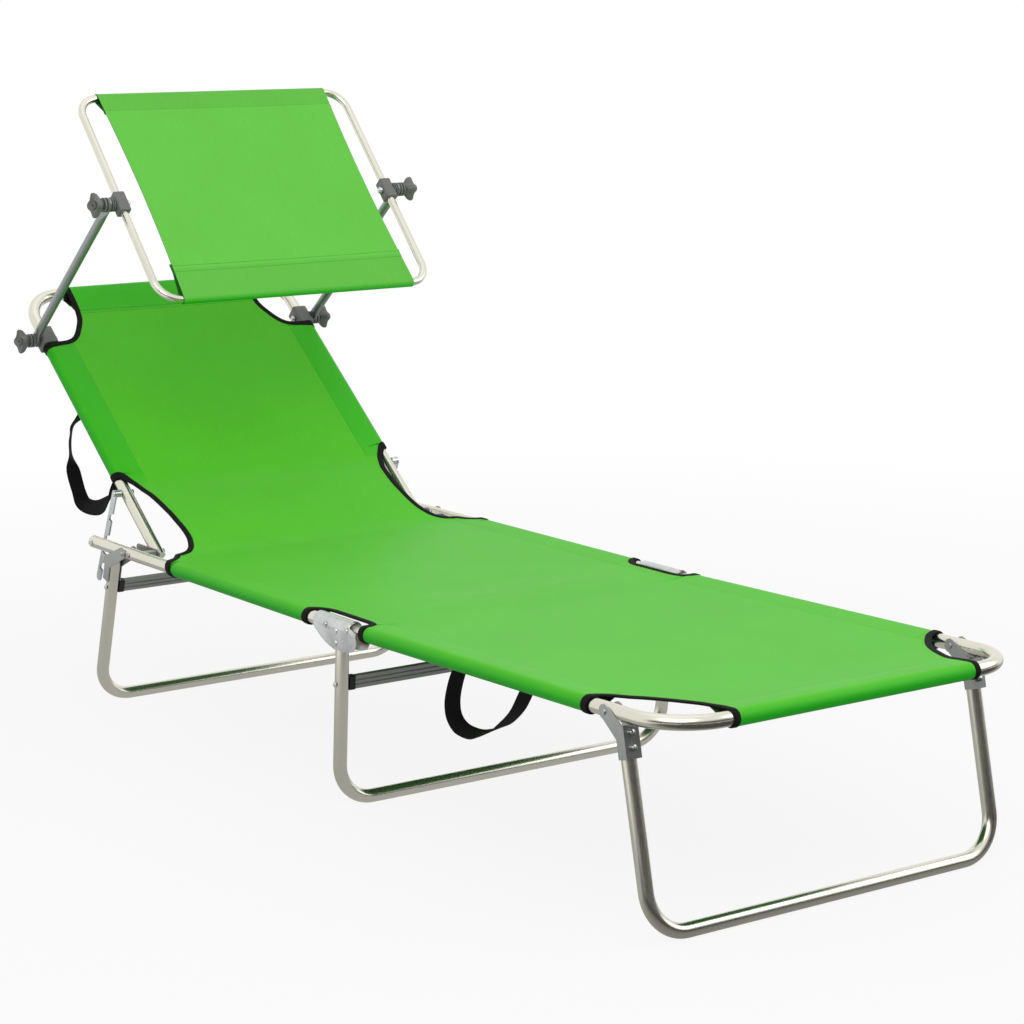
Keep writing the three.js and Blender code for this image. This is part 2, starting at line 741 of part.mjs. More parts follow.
// Foot frame, cloth and carrying strap, drawn about the foot pivot
{
  const path = route([
    V3(-railX, corner, 0), V3(-railX, -footLength, 0), V3(railX, -footLength, 0), V3(railX, corner, 0),
  ], footBend);
  const whole = pipe(path, radius, tubeWall);
  const reach = -(footLength + tube);
  const rounded = common(whole, surface(joined(
    roundEnd(0, reach, railX), roundEnd(0, reach, -railX),
    upZ([V2(-railX, reach), V2(railX, reach), V2(railX, -footBend), V2(-railX, -footBend)], -tube, tube),
  )));
  const pins = [
    ...crossBores(rivet / 2, railX, 0, 0),
    ...crossBores(rivet / 2, railX, -(footLength - frontPivotInset), 0),
  ];
  add('foot_frame', cut(rounded, ...pins), 'tube', footPlace);

  const sleeveFoot = -(footLength - footSleeveEnd);
  const blank = clothAlongY(railX, radius, hem, -play, -(footLength - radius));
  const trimmed = cut(
    blank,
    ...sideCutters(
      curve(footHingeShares, midCorner, overrun, beyond, -footSleeveGap), beyond, below, above,
    ),
    ...sideCutters([
      ...curve(footCutShares, beyond, sleeveFoot, footCross, -(footLength - footBend / 2)),
      V2(footCross, -footLength - tube),
    ], beyond, below, above),
  );
  const wrap = sleeveProfile(footLength, radius, hem, false);
  const turn = (list) => list.map((p) => V2(-p.x, p.y)).reverse();
  const wide = acrossX(turn(wrap.points), -footCross, footCross, ...wrap.holes.map(turn));
  const keep = upZ([
    V2(-beyond, -footLength - tube), V2(beyond, -footLength - tube),
    V2(beyond, -(footLength - hem - tube)), V2(-beyond, -(footLength - hem - tube)),
  ], below, above);
  const front = common(wide, keep);
  const clear = upZ([
    V2(-beyond, -footLength), V2(beyond, -footLength),
    V2(beyond, -(footLength - hem - tube / 2)), V2(-beyond, -(footLength - hem - tube / 2)),
  ], below, above);
  add('foot_cloth', fused(cut(trimmed, clear), front), 'seat', footPlace);
}

// Back frame, drawn about its pivot with the tubes along Y
{
  const path = route([
    V3(-backX, -radius, 0), V3(-backX, backLength, 0), V3(backX, backLength, 0), V3(backX, -radius, 0),
  ], headBend);
  const body = pipe(path, radius, tubeWall);
  const pins = [0, ratchetAlong, clampAlong].flatMap(
    (y) => crossBores(rivet / 2, backX, y, 0),
  );
  add('back_frame', cut(body, ...pins), 'tube', backPlace);

  const sleeveTop = clampAlong - clampLength / 2 - clampGap;
  const blank = clothAlongY(backX, radius, hem, backLength - radius, backWebStart);
  const lowCurve = curve(
    hingeCutShares, bendEdge(bendShares.at(-1)[1]), backWebStart - overrun, backX + web + overrun, backSleeveStart,
  );
  const headCurve = [
    V2(headCross, backLength + tube),
    ...curve(headCutShares, headCross, backLength - radius, backX + web + overrun, sleeveTop),
  ];
  const side = backX + web + overrun;
  const trimmed = cut(
    blank,
    ...sideCutters(lowCurve, side, below, above),
    ...sideCutters(headCurve, side, below, above),
  );
  const wrap = sleeveProfile(backLength, radius, hem, false);
  const wide = acrossX(wrap.points, -headCross, headCross, ...wrap.holes);
  const low = backLength - hem - tube;
  const keep = upZ([
    V2(-side, low), V2(side, low), V2(side, backLength + tube), V2(-side, backLength + tube),
  ], below, above);
  const clear = upZ([
    V2(-side, low + radius), V2(side, low + radius), V2(side, backLength), V2(-side, backLength),
  ], below, above);
  add('back_cloth', fused(cut(trimmed, clear), common(wide, keep)), 'cloth', backPlace);
}

// Webbing loop from a list of Y and Z points
function strap(points, x) {
  const bend = new THREE.CatmullRomCurve3(points.map(([y, z]) => V3(x, y, z)));
  const count = points.length * 3;
  const list = [];
  const tangents = [];
  for (let k = 0; k <= count; k += 1) {
    list.push(bend.getPointAt(k / count));
    tangents.push(bend.getTangentAt(k / count));
  }
  const w = strapWidth / 2;
  const t = strapThick / 2;
  return sweep(outline([V2(-w, -t), V2(w, -t), V2(w, t), V2(-w, t)]), new Route(list, tangents));
}

// Carrying straps under the left edge: shares of each loop's span and drop
const footStrapShares = [[0, 0], [-0.1, 0.2], [-0.14, 0.5], [0.12, 0.83], [0.4, 1], [0.75, 0.68], [0.95, 0.3], [1, 0]];
const footStrapStart = 243.2;
const footStrapSpan = 160;
const footStrapDrop = 78;
const headStrapShares = [[0, 0], [0.12, 0.34], [0.13, 0.75], [-0.1, 1], [-0.55, 0.85], [-0.92, 0.45], [-1, 0]];
const headStrapStart = 292.6;
const headStrapSpan = 143.6;
const headStrapDrop = 62;
{
  const x = -(railX - radius - strapWidth / 2 - running);
  const top = -strapTop;
  const points = footStrapShares.map(([u, v]) => [-(footStrapStart + footStrapSpan * u), top - footStrapDrop * v]);
  add('foot_strap', strap(points, x), 'webbing', footPlace);
}
{
  const x = -(backX - radius - strapWidth / 2 - running);
  const top = -strapTop;
  const points = headStrapShares.map(([u, v]) => [headStrapStart + headStrapSpan * u, top - headStrapDrop * v]);
  add('head_strap', strap(points, x), 'webbing', backPlace);
}

// Ratchet bars hang from pins on the back tubes
const ratchetPoint = V3(0, ratchetAlong, 0).applyMatrix4(backPlace);
{
  const start = backX - radius - fit;
  const collar = backX + radius + fit;
  const face = ratchetX - ratchetThick / 2 - play;
  const tip = ratchetX + ratchetThick / 2 + fit;
  const r = rivet / 2;
  const head = rivetHead / 2;
  const pin = turned([
    [start - rivetRise, 0], [start - rivetRise, head], [start, head], [start, r], [collar, r],
    [collar, ratchetSpacer / 2], [face, ratchetSpacer / 2], [face, r], [tip, r], [tip, head],
    [tip + rivetRise, head - rivetRise / 2], [tip + rivetRise, 0],
  ]);
  addPair('ratchet_pivot', pin, 'zinc', frame(ratchetPoint.y, ratchetPoint.z, 0));

  const w = ratchetWidth / 2;
  const edge = [];
  for (const drop of notchDrops) {
    const open = rivet + notchRise / 2;
    edge.push(V2(-w, -(drop - open / 2 - notchRise)));
    edge.push(V2(-w + notchDepth, -(drop - open / 2)));
    edge.push(V2(-w + notchDepth, -(drop + open / 2)));
    edge.push(V2(-w, -(drop + open / 2)));
  }
  const round = arc(0, 0, w, 0, Math.PI, 6);
  const foot = arc(0, -(ratchetLength - w), w, Math.PI, 2 * Math.PI, 6);
  const body = acrossX([...round, ...edge, ...foot], ratchetX - ratchetThick / 2, ratchetX + ratchetThick / 2);
  const hole = bore(rivet / 2, ratchetX - tube, ratchetX + tube);
  addPair('ratchet_bar', cut(body, hole), 'zinc', frame(ratchetPoint.y, ratchetPoint.z, ratchetTilt));
}

// Clamp block round a tube at the given X, with its ribbed collar on the outer side
function clamp(x, r, outer) {
  const h = r + clampWall;
  const l = clampLength / 2;
  const c = clampWall / 2;
  const face = x + h;
  const block = acrossX([
    V2(-l, -h + c), V2(-l + c, -h), V2(l - c, -h), V2(l, -h + c),
    V2(l, h - c), V2(l - c, h), V2(-l + c, h), V2(-l, h - c),
  ], x - h, face);
  const pitch = collarRib + collarGroove;
  const profile = [[face - play, 0], [face - play, collarRadius]];
  for (let s = face; s + pitch <= outer; s += pitch) {
    profile.push([s + collarRib, collarRadius], [s + collarRib + collarGroove / 3, collarRadius - collarGroove]);
    profile.push([s + pitch - collarGroove / 3, collarRadius - collarGroove], [s + pitch, collarRadius]);
  }
  profile.push([outer, collarRadius], [outer, 0]);
  const collar = turned(profile, 0, 0, tubeSides);
  const passage = rod((r + fit) / Math.cos(Math.PI / tubeSides), -clampLength, clampLength, 0, 0, tubeSides)
    .rotateZ(Math.PI / 2).translate(x, 0, 0);
  return cut(fused(block, collar), passage, bore(clampBolt / 2, x - 2 * h, outer + overrun, 0, 0));
}

// Bolt through clamp, arm and knob, with a domed head inside
function clampBoltPiece(x, r, tip) {
  const start = x - r - clampWall - fit;
  return turned([
    [start - domeRise, 0], [start - domeRise, domeHead / 4], [start - domeRise / 2, domeHead / 2],
    [start, domeHead / 2], [start, clampBolt / 2], [tip, clampBolt / 2], [tip, 0],
  ]);
}

const armFace = armX + armFlat / 2 + fit;
const knobTip = armFace + knobNeck + knobThick;
const boltTip = armFace + knobNeck + knobThick / 2;
{
  const collarEnd = armX - armFlat / 2 - fit;
  const lower = frame(clampPoint.y, clampPoint.z, recline);
  addPair('lower_clamp', clamp(backX, radius, collarEnd), 'grey', lower);
  addPair('lower_clamp_bolt', clampBoltPiece(backX, radius, boltTip), 'zinc', lower);
  addPair('upper_clamp', clamp(ringX, ringTube / 2, collarEnd), 'grey', ringPlace);
  addPair('upper_clamp_bolt', clampBoltPiece(ringX, ringTube / 2, boltTip), 'zinc', ringPlace);
}

// A closed body through rings of equal count
function loft(rings) {
  const n = rings[0].length;
  const position = rings.flat().flatMap((p) => [p.x, p.y, p.z]);
  const index = [];
  for (let i = 0; i < rings.length - 1; i += 1) {
    for (let k = 0; k < n; k += 1) {
      const a = i * n + k;
      const b = i * n + ((k + 1) % n);
      index.push(a, b, b + n, a, b + n, a + n);
    }
  }
  const last = (rings.length - 1) * n;
  for (let k = 1; k < n - 1; k += 1) {
    index.push(0, k + 1, k, last, last + k, last + k + 1);
  }
  const g = new THREE.BufferGeometry();
  g.setAttribute('position', new THREE.Float32BufferAttribute(position, 3));
  g.setIndex(index);
  return g;
}

// Arms: round tube, pressed flat where the bolts pass, with the seam left by the pressing
{
  const ring = (along, halfX, halfZ, power) => Array.from({ length: ringSides }, (_, k) => {
    const a = ((k + 0.5) * 2 * Math.PI) / ringSides;
    const pull = (v) => Math.sign(v) * Math.abs(v) ** power;
    return V3(armX + halfX * pull(Math.cos(a)), along, halfZ * pull(Math.sin(a)));
  });
  const h = armEnd / 2;
  const r = armTube / 2;
  const flat = armFlat / 2;
  const box = 0.4;
  const half = [
    ring(-h, flat, h * 0.45, box), ring(-h * 0.7, flat, h * 0.8, box), ring(-h * 0.25, flat, h, box),
    ring(collarRadius + fit, flat, h, box), ring(h + armTaper / 2, (flat + r) / 2, (h + r) / 2, 0.7), ring(h + armTaper, r, r, 1),
  ];
  const other = half.map((list) => list.map((p) => V3(p.x, armLength - p.y, p.z))).reverse();
  const body = loft([...half, ...other]);
  const holes = [0, armLength].map((y) => bore(clampBolt / 2, armX - tube, armX + tube, y, 0));
  const start = h + armTaper;
  const hollow = new THREE.LatheGeometry([
    V2(0, start), V2(r - tubeWall, start), V2(r - tubeWall, armLength - start), V2(0, armLength - start),
  ], boreSides).translate(armX, 0, 0);
  const seam = [V2(-armSeam / 2, 0), V2(armSeam / 2, 0), V2(armSeam / 2, armLength), V2(-armSeam / 2, armLength)]
    .map((p) => V2(armX + p.x, p.y));
  addPair('arm', cut(body, ...holes, hollow, upZ(seam, tubeWall - r, r - tubeWall)), 'tube', frame(clampPoint.y, clampPoint.z, armRest));
}

// Knobs: a neck, a hub and two wings, on the bolt's end
{
  const hub = turned([
    [armFace, 0], [armFace, knobHub], [armFace + knobNeck, knobHub * 0.8],
    [armFace + knobNeck, knobHub], [knobTip, knobHub], [knobTip, 0],
  ]);
  const wing = acrossX(
    smooth([
      V2(-knobWing * 1.2, 0), V2(-knobWing, knobReach * 0.5), V2(-knobWing * 0.75, knobReach * 0.9),
      V2(0, knobReach), V2(knobWing * 0.75, knobReach * 0.9), V2(knobWing, knobReach * 0.5), V2(knobWing * 1.2, 0),
    ], 12),
    armFace + knobNeck, knobTip,
  );
  const pair = fused(hub, wing, wing.clone().rotateX(Math.PI));
  const body = cut(pair, bore(clampBolt / 2, armFace - overrun, boltTip + fit));
  const turnShare = 0.12;
  addPair('lower_knob', body, 'grey', frame(clampPoint.y, clampPoint.z, turnShare));
  addPair('upper_knob', body, 'grey', frame(tiltPoint.y, tiltPoint.z, turnShare));
}

// Canopy ring and cloth, drawn about the tilt pivot with the ring in the XY plane
{
  const rear = ringPivotInset;
  const front = ringPivotInset - ringLength;
  const x = ringX;
  const r = ringTube / 2;
  const path = route([
    V3(-fit / 2, rear, 0), V3(-x, rear, 0), V3(-x, front, 0), V3(x, front, 0), V3(x, rear, 0), V3(fit / 2, rear, 0),
  ], ringBend, bendSteps - 1);
  const holes = crossBores(clampBolt / 2, x, 0, 0, ringTube);
  add('canopy_ring', cut(pipe(path, r, ringWall, 0, ringSides), ...holes), 'tube', ringPlace);

  const mid = (rear + front) / 2;
  const p = sleeveProfile(ringLength / 2, r, canopyHem);
  const blank = acrossX(p.points, -canopyEdge, canopyEdge, ...p.holes).translate(0, mid, 0);
  const dip = [V2(canopyEdge + overrun, rear - ringTube), ...[0.2, 0.5, 0.8].map((u) => V2(
    canopyEdge - canopyDip * Math.sin(Math.PI * u), rear - ringLength * u,
  )), V2(canopyEdge + overrun, front + ringTube)];
  const body = cut(blank, ...sideCutters(dip, canopyEdge + 2 * overrun, below, above));
  add('canopy_cloth', body, 'cloth', ringPlace);
}

// The floor is at zero height, and the box of the whole part is centred over the origin.
const box = new THREE.Box3();
for (const mesh of group.children) {
  mesh.geometry.computeBoundingBox();
  box.union(mesh.geometry.boundingBox);
}
for (const mesh of group.children) {
  mesh.geometry.translate(0, -(box.min.y + box.max.y) / 2, 0);
}

export default group;
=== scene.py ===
"""Folding sun lounger with a green cloth bed, three tube legs and a tilting canopy."""

import json
import math

import bmesh
import bpy
from bpy.props import FloatProperty, FloatVectorProperty, PointerProperty
from bpy.types import Operator, Panel, PropertyGroup
from mathutils import Matrix, Vector


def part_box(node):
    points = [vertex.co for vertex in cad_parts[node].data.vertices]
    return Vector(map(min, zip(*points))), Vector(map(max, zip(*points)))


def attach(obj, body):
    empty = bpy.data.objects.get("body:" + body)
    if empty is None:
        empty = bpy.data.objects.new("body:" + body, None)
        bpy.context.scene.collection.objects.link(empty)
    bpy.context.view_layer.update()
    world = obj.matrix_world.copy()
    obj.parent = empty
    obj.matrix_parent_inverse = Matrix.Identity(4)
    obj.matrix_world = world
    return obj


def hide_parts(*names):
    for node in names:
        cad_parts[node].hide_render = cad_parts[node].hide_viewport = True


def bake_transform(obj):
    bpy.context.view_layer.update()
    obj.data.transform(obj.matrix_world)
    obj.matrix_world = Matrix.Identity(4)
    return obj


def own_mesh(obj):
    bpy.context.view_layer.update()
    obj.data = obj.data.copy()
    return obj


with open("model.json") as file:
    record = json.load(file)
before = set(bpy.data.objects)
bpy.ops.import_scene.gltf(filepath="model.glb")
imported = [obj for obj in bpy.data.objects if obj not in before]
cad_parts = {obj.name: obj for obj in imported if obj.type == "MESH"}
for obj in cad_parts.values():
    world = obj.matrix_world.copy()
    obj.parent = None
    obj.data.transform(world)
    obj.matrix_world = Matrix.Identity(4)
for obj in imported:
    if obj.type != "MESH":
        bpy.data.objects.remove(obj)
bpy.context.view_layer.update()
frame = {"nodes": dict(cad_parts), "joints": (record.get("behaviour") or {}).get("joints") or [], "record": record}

bl_info = {
    "name": "Sun Lounger with Canopy",
    "version": (1, 0, 0),
    "blender": (4, 5, 0),
    "location": "3D Viewport > Sidebar > Lounger",
    "description": "Cloth, bindings, straps, tubes and fittings of a folding sun lounger",
    "category": "Add Mesh",
}

# Sizes in metres. -Y is the foot end, +Y the head end, -X the side with the straps.
MM = 0.001
TINY = 1e-9
NEAR = 1e-6
MERGE = 1e-5
ACROSS = Vector((1, 0, 0))

# Frame: tube radii, half-widths to the tubes' centres, lengths from the joints, and slopes.
TUBE_RADIUS = 9.5 * MM
RING_RADIUS = 6 * MM
RAIL_X = 280.5 * MM
BACK_X = 240 * MM
RING_X = 240.5 * MM
FOOT_LENGTH = 685 * MM
BACK_LENGTH = 560 * MM
RING_FRONT = -184 * MM
RING_REAR = 206 * MM
RECLINE = math.radians(39)
FOOT_TILT = -math.radians(1.03)
RING_TILT = math.radians(48)

# Cloth round the tubes: the sleeve's radius is to the cloth's middle layer. A flap goes back under the sheet.
CLOTH_THICK = 1.2 * MM
SLEEVE_GAP = 0.3 * MM
SLEEVE = TUBE_RADIUS + SLEEVE_GAP + CLOTH_THICK / 2
HEM = 38 * MM
HEM_DROP = 0.6 * CLOTH_THICK
WRAP_TURN = math.radians(210.6)
WRAP = SLEEVE * WRAP_TURN
FLAP_EASE = 4 * MM
FLAP_GAP = 1.4 * MM
LEAST_LEAN = math.radians(2)
MOST_LEAN = math.radians(60)
LEAN_HALVINGS = 40
SLEEVE_ROWS = (14, 5, 2, 2)

# Bed cloth: lengths along it, the sleeves at its ends, its webs and the rows and columns of its mesh.
SEAT_TO_BEND = 484.7 * MM
BEND_LENGTH = 193.8 * MM
BACK_START = SEAT_TO_BEND + BEND_LENGTH
BEND_SLOPE = math.radians(23.54)
BEND_RADIUS = 120 * MM
BACK_WEB = 126 * MM
HEAD_END = BACK_START + BACK_LENGTH - BACK_WEB
HEAD_SEAM = 52 * MM
HEAD_REACH = HEAD_SEAM - 4 * MM
FOOT_REACH = HEM - 2 * MM
MIDDLE_HALF = 264 * MM
MIDDLE_ROWS = 8
WEB_FIXED = 120 * MM
WEB_EDGE = 50 * MM
WEB_EASE = 120 * MM
WEB_PAST_BEND = 20 * MM
BED_COLUMNS = (14, 14, 5, 16, 4)
FINE_ROW = 3.5 * MM
EDGE_JUMP = 5 * MM

# Cut-outs of the bed cloth, in millimetres along it: those of the back count from its start.
MID_CUT_END = 58.4
HINGE_CUT_START = 433.7
HINGE_CUT_END = 30
HEAD_CUT_START = 314
FOOT_MID_CUT_END = 34
FOOT_CUT_START = 528

# Angles in degrees over which an edge stays sharp.
CLOTH_CREASE = 50
METAL_CREASE = 38
DRESS_CREASE = 40

PLACES = {joint["name"]: Vector(joint["pos_m"]) for joint in frame["joints"]}
SIDES = {"right": 1, "left": -1}
BODY_OF = {node: body for body, nodes in frame["record"]["behaviour"]["bodies"].items() for node in nodes}


# Lines and curves


def clamped(value):
    return min(max(value, 0.0), 1.0)


def smoothstep(a, b, v):
    u = clamped((v - a) / (b - a))
    return u * u * (3 - 2 * u)


def spread(start, end, count):
    """Values at equal steps, both ends included."""
    return [start + (end - start) * i / count for i in range(count + 1)]


def slope(angle):
    """Directions along and square to a line that rises at the angle towards the head."""
    return Vector((0, math.cos(angle), math.sin(angle))), Vector((0, -math.sin(angle), math.cos(angle)))


def run_along(points):
    """Length along a line of points, at each of them."""
    run = [0.0]
    for a, b in zip(points, points[1:]):
        run.append(run[-1] + (b - a).length)
    return run


def heading(points, i, reach=1):
    """Direction of a line of points at one of them."""
    return (points[min(i + reach, len(points) - 1)] - points[max(i - reach, 0)]).normalized()


def blend_points(table, t):
    """Smooth value at t from (t, value) pairs, by monotone cubic pieces."""
    if t <= table[0][0]:
        return table[0][1]
    if t >= table[-1][0]:
        return table[-1][1]
    k = next(i for i in range(len(table) - 1) if t <= table[i + 1][0])
    (t0, v0), (t1, v1) = table[k], table[k + 1]

    def rate(i):
        if i <= 0 or i >= len(table) - 1:
            return 0.0
        a = (table[i][1] - table[i - 1][1]) / max(table[i][0] - table[i - 1][0], NEAR)
        b = (table[i + 1][1] - table[i][1]) / max(table[i + 1][0] - table[i][0], NEAR)
        return 0.0 if a * b <= 0 else 2 * a * b / (a + b)

    h = t1 - t0
    u = (t - t0) / h
    m0, m1 = rate(k) * h, rate(k + 1) * h
    return (
        (2 * u**3 - 3 * u**2 + 1) * v0 + (u**3 - 2 * u**2 + u) * m0
        + (3 * u**2 - 2 * u**3) * v1 + (u**3 - u**2) * m1
    )


def spline_points(points, steps):
    """Points of a smooth curve through the given ones."""
    out = []
    padded = [points[0] * 2 - points[1], *points, points[-1] * 2 - points[-2]]
    for a, b, c, d in zip(padded, padded[1:], padded[2:], padded[3:]):
        for k in range(steps):
            u = k / steps
            out.append(0.5 * (
                2 * b + (c - a) * u + (2 * a - 5 * b + 4 * c - d) * u**2 + (3 * b - a - 3 * c + d) * u**3))
    return out + [points[-1]]


def bent_path(corners, bend):
    """Points through corners, each inner one rounded with the bend radius."""
    points = [corners[0]]
    for before, here, after in zip(corners, corners[1:], corners[2:]):
        a, b = (here - before).normalized(), (after - here).normalized()
        turn, axis = a.angle(b), a.cross(b).normalized()
        start = here - a * bend * math.tan(turn / 2)
        centre = start + axis.cross(a) * bend
        for part in spread(0, turn, BEND_STEPS):
            points.append(centre + Matrix.Rotation(part, 3, axis) @ (start - centre))
    return points + [corners[-1]]


# Meshes

TUBE_SIDES = 32
BEND_STEPS = 16
BLOCK_SIDES = 64
BLOCK_ROUND = 1.2 * MM
BLOCK_STEP = 0.35 * MM
BLOCK_POWER = 9
TURN_STEPS = 60
LOBE_POWER = 1.4
BALL_ANGLES = [math.radians(15 * k + 1) for k in range(6)]


def grid(across, along):
    """Grid from -1 to 1 with that many faces each way."""
    bm = bmesh.new()
    bmesh.ops.create_grid(bm, x_segments=across, y_segments=along, size=1)
    return bm


def smooth_faces(bm, crease):
    for face in bm.faces:
        face.smooth = True
    for edge in bm.edges:
        edge.smooth = edge.is_manifold and edge.calc_face_angle() < math.radians(crease)


def finished(name, bm, crease):
    """Object at the origin from a bmesh, smooth up to the crease angle."""
    bm.normal_update()
    smooth_faces(bm, crease)
    mesh = bpy.data.meshes.new(name)
    bm.to_mesh(mesh)
    bm.free()
    piece = bpy.data.objects.new(name, mesh)
    bpy.context.scene.collection.objects.link(piece)
    return piece


def swept(name, count, around, put, crease, flat=None):
    """Closed skin over rows: put gives a point from its row and its angle, flat its place in the weave."""
    bm = grid(around, count - 1)
    uv = bm.loops.layers.uv.new("weave") if flat else None
    where = {}
    for v in bm.verts:
        row = round((v.co.y + 1) / 2 * (count - 1))
        step = round((v.co.x + 1) / 2 * around)
        v.co = put(row, 2 * math.pi * step / around)
        where[v] = (row, step / around)
    if flat:
        for face in bm.faces:
            for loop in face.loops:
                loop[uv].uv = flat(*where[loop.vert])
    bmesh.ops.remove_doubles(bm, verts=bm.verts, dist=NEAR)
    bmesh.ops.holes_fill(bm, edges=[e for e in bm.edges if e.is_boundary], sides=0)
    bmesh.ops.recalc_face_normals(bm, faces=bm.faces)
    return finished(name, bm, crease)


def tape(name, stations, width, thick, around, power):
    """Flat rounded band swept through stations of (point, normal, side direction)."""
    run = run_along([point for point, normal, side in stations])

    def put(row, angle):
        point, normal, side = stations[row]
        c, s = (math.copysign(abs(v) ** power, v) for v in (math.cos(angle), math.sin(angle)))
        return point + side * (c * width / 2) + normal * (s * thick / 2)

    def flat(row, share):
        return share * 2 * (width + thick), run[row]

    return swept(name, len(stations), around, put, CLOTH_CREASE, flat)


def round_tube(name, points, radius, plane, balls):
    """Round tube along points in a plane with the given normal, with a ball at each end that has one."""
    rows = [(point, radius) for point in points]
    for ball in balls:
        if ball:
            inward = (rows[1][0] - rows[0][0]).normalized()
            centre = rows[0][0] + inward * radius
            rows[:1] = [(centre - inward * radius * math.cos(a), radius * math.sin(a)) for a in BALL_ANGLES]
        rows.reverse()
    closed = (rows[0][0] - rows[-1][0]).length < NEAR

    def put(row, angle):
        before = rows[row - 1 if row else -2 if closed else 0][0]
        after = rows[row + 1 if row < len(rows) - 1 else 1 if closed else -1][0]
        side = (after - before).normalized().cross(plane).normalized()
        point, reach = rows[row]
        return point + (plane * math.cos(angle) + side * math.sin(angle)) * reach

    return swept(name, len(rows), TUBE_SIDES, put, METAL_CREASE)


def turned_mesh(name, profile, centre, side, lobes=0, phase=0.0, reach=0.0):
    """Body turned round the X axis through centre from (distance, radius, lobe share) rows in millimetres.

    The rows that have a lobe share swell towards the reach at each lobe.
    """
    bm = bmesh.new()
    verts = [bm.verts.new((x * MM, 0, r * MM)) for x, r, lobe in profile]
    edges = [bm.edges.new(ends) for ends in zip(verts, verts[1:])]
    bmesh.ops.spin(bm, geom=verts + edges, cent=(0, 0, 0), axis=ACROSS, angle=2 * math.pi, steps=TURN_STEPS,
                   use_merge=True)
    bmesh.ops.remove_doubles(bm, verts=bm.verts, dist=NEAR)
    for v in bm.verts:
        here = Vector((v.co.x, v.co.yz.length)) / MM
        lobe = max((row[2] for row in profile if (here - Vector(row[:2])).length < MERGE / MM), default=0)
        if lobe:
            swell = 0.5 + 0.5 * math.cos(lobes * (math.atan2(v.co.y, v.co.z) - phase))
            grown = 1 + (reach / here.y - 1) * lobe * swell ** LOBE_POWER
            v.co.yz = v.co.yz * grown
    for v in bm.verts:
        v.co = centre + Vector((v.co.x * side, v.co.y, v.co.z))
    bmesh.ops.recalc_face_normals(bm, faces=bm.faces)
    return finished(name, bm, METAL_CREASE)


def bored_block(name, centre, axis, half, bore, length):
    """Square block with rounded edges and a round bore along the axis, which lies in the Y-Z plane."""
    up, ends = axis.cross(ACROSS), length / 2
    low = [(bore, -ends), (half - BLOCK_ROUND, -ends), (half - BLOCK_STEP, BLOCK_STEP - ends),
           (half, BLOCK_ROUND - ends)]
    rings = low + [(size, -along) for size, along in reversed(low)] + low[:1]

    def put(row, angle):
        size, along = rings[row]
        c, s = math.cos(angle), math.sin(angle)
        if size != bore:
            size /= (abs(c) ** BLOCK_POWER + abs(s) ** BLOCK_POWER) ** (1 / BLOCK_POWER)
        return centre + axis * along + ACROSS * size * c + up * size * s

    return swept(name, len(rings), BLOCK_SIDES, put, METAL_CREASE)


# Finishes


def wire(tree, node, **links):
    """Sets or links the inputs of a node by name; a_b stands for the socket 'A B', and i0 for the first."""
    for key, value in links.items():
        numbered = key[0] == "i" and key[1:].isdigit()
        socket = node.inputs[int(key[1:]) if numbered else key.replace("_", " ")]
        if isinstance(value, bpy.types.NodeSocket):
            tree.links.new(value, socket)
        else:
            socket.default_value = value
    return node


def add(tree, kind, **links):
    return wire(tree, tree.nodes.new("ShaderNode" + kind), **links)


def maths(tree, operation, *values):
    node = add(tree, "Math")
    node.operation = operation
    return wire(tree, node, **{f"i{i}": v for i, v in enumerate(values)}).outputs[0]


def noise(tree, vector, scale, detail=2.0, roughness=0.5):
    node = add(tree, "TexNoise", Vector=vector, Scale=scale, Detail=detail, Roughness=roughness)
    return node.outputs["Fac"]


def ramp(tree, value, low, high, a=0.0, b=1.0):
    return add(tree, "MapRange", Value=value, i1=low, i2=high, i3=a, i4=b).outputs[0]


def varied(tree, tone, a=0.0, b=1.0):
    """Range from a to b for a noise, most of which lies within these two values."""
    return ramp(tree, tone, 0.3, 0.7, a, b)


def mix_colour(tree, factor, a, b):
    node = add(tree, "Mix")
    node.data_type = "RGBA"
    return wire(tree, node, i0=factor, i6=a, i7=b).outputs[2]


def flat_map(tree, layer):
    node = add(tree, "UVMap")
    node.uv_map = layer
    return node.outputs[0]


def new_group(name, inputs, outputs):
    """Node group with a Vector input, its other inputs with their defaults, and float outputs."""
    group = bpy.data.node_groups.new(name, "ShaderNodeTree")
    group.interface.new_socket("Vector", in_out="INPUT", socket_type="NodeSocketVector")
    for title, value in inputs.items():
        socket = group.interface.new_socket(title, in_out="INPUT", socket_type="NodeSocketFloat")
        socket.default_value = value
    for title in outputs:
        group.interface.new_socket(title, in_out="OUTPUT", socket_type="NodeSocketFloat")
    return group, group.nodes.new("NodeGroupInput").outputs, group.nodes.new("NodeGroupOutput")


def weave_group():
    """Plain weave from flat cloth coordinates in metres."""
    group, given, end = new_group("plain_weave", {"Pitch": 0.6 * MM}, ["Height", "Thread"])
    split = add(group, "SeparateXYZ", Vector=given["Vector"]).outputs
    places = [maths(group, "DIVIDE", split[i], given["Pitch"]) for i in (0, 1)]
    warp, weft = (maths(group, "ABSOLUTE", maths(group, "SINE", maths(group, "MULTIPLY", place, math.pi)))
                  for place in places)
    cells = maths(group, "ADD", *(maths(group, "FLOOR", place) for place in places))
    over = maths(group, "PINGPONG", cells, 1.0)
    height = maths(group, "ADD", maths(group, "MULTIPLY", warp, over),
                   maths(group, "MULTIPLY", weft, maths(group, "SUBTRACT", 1.0, over)))
    wire(group, end, Height=height, Thread=over)
    return group


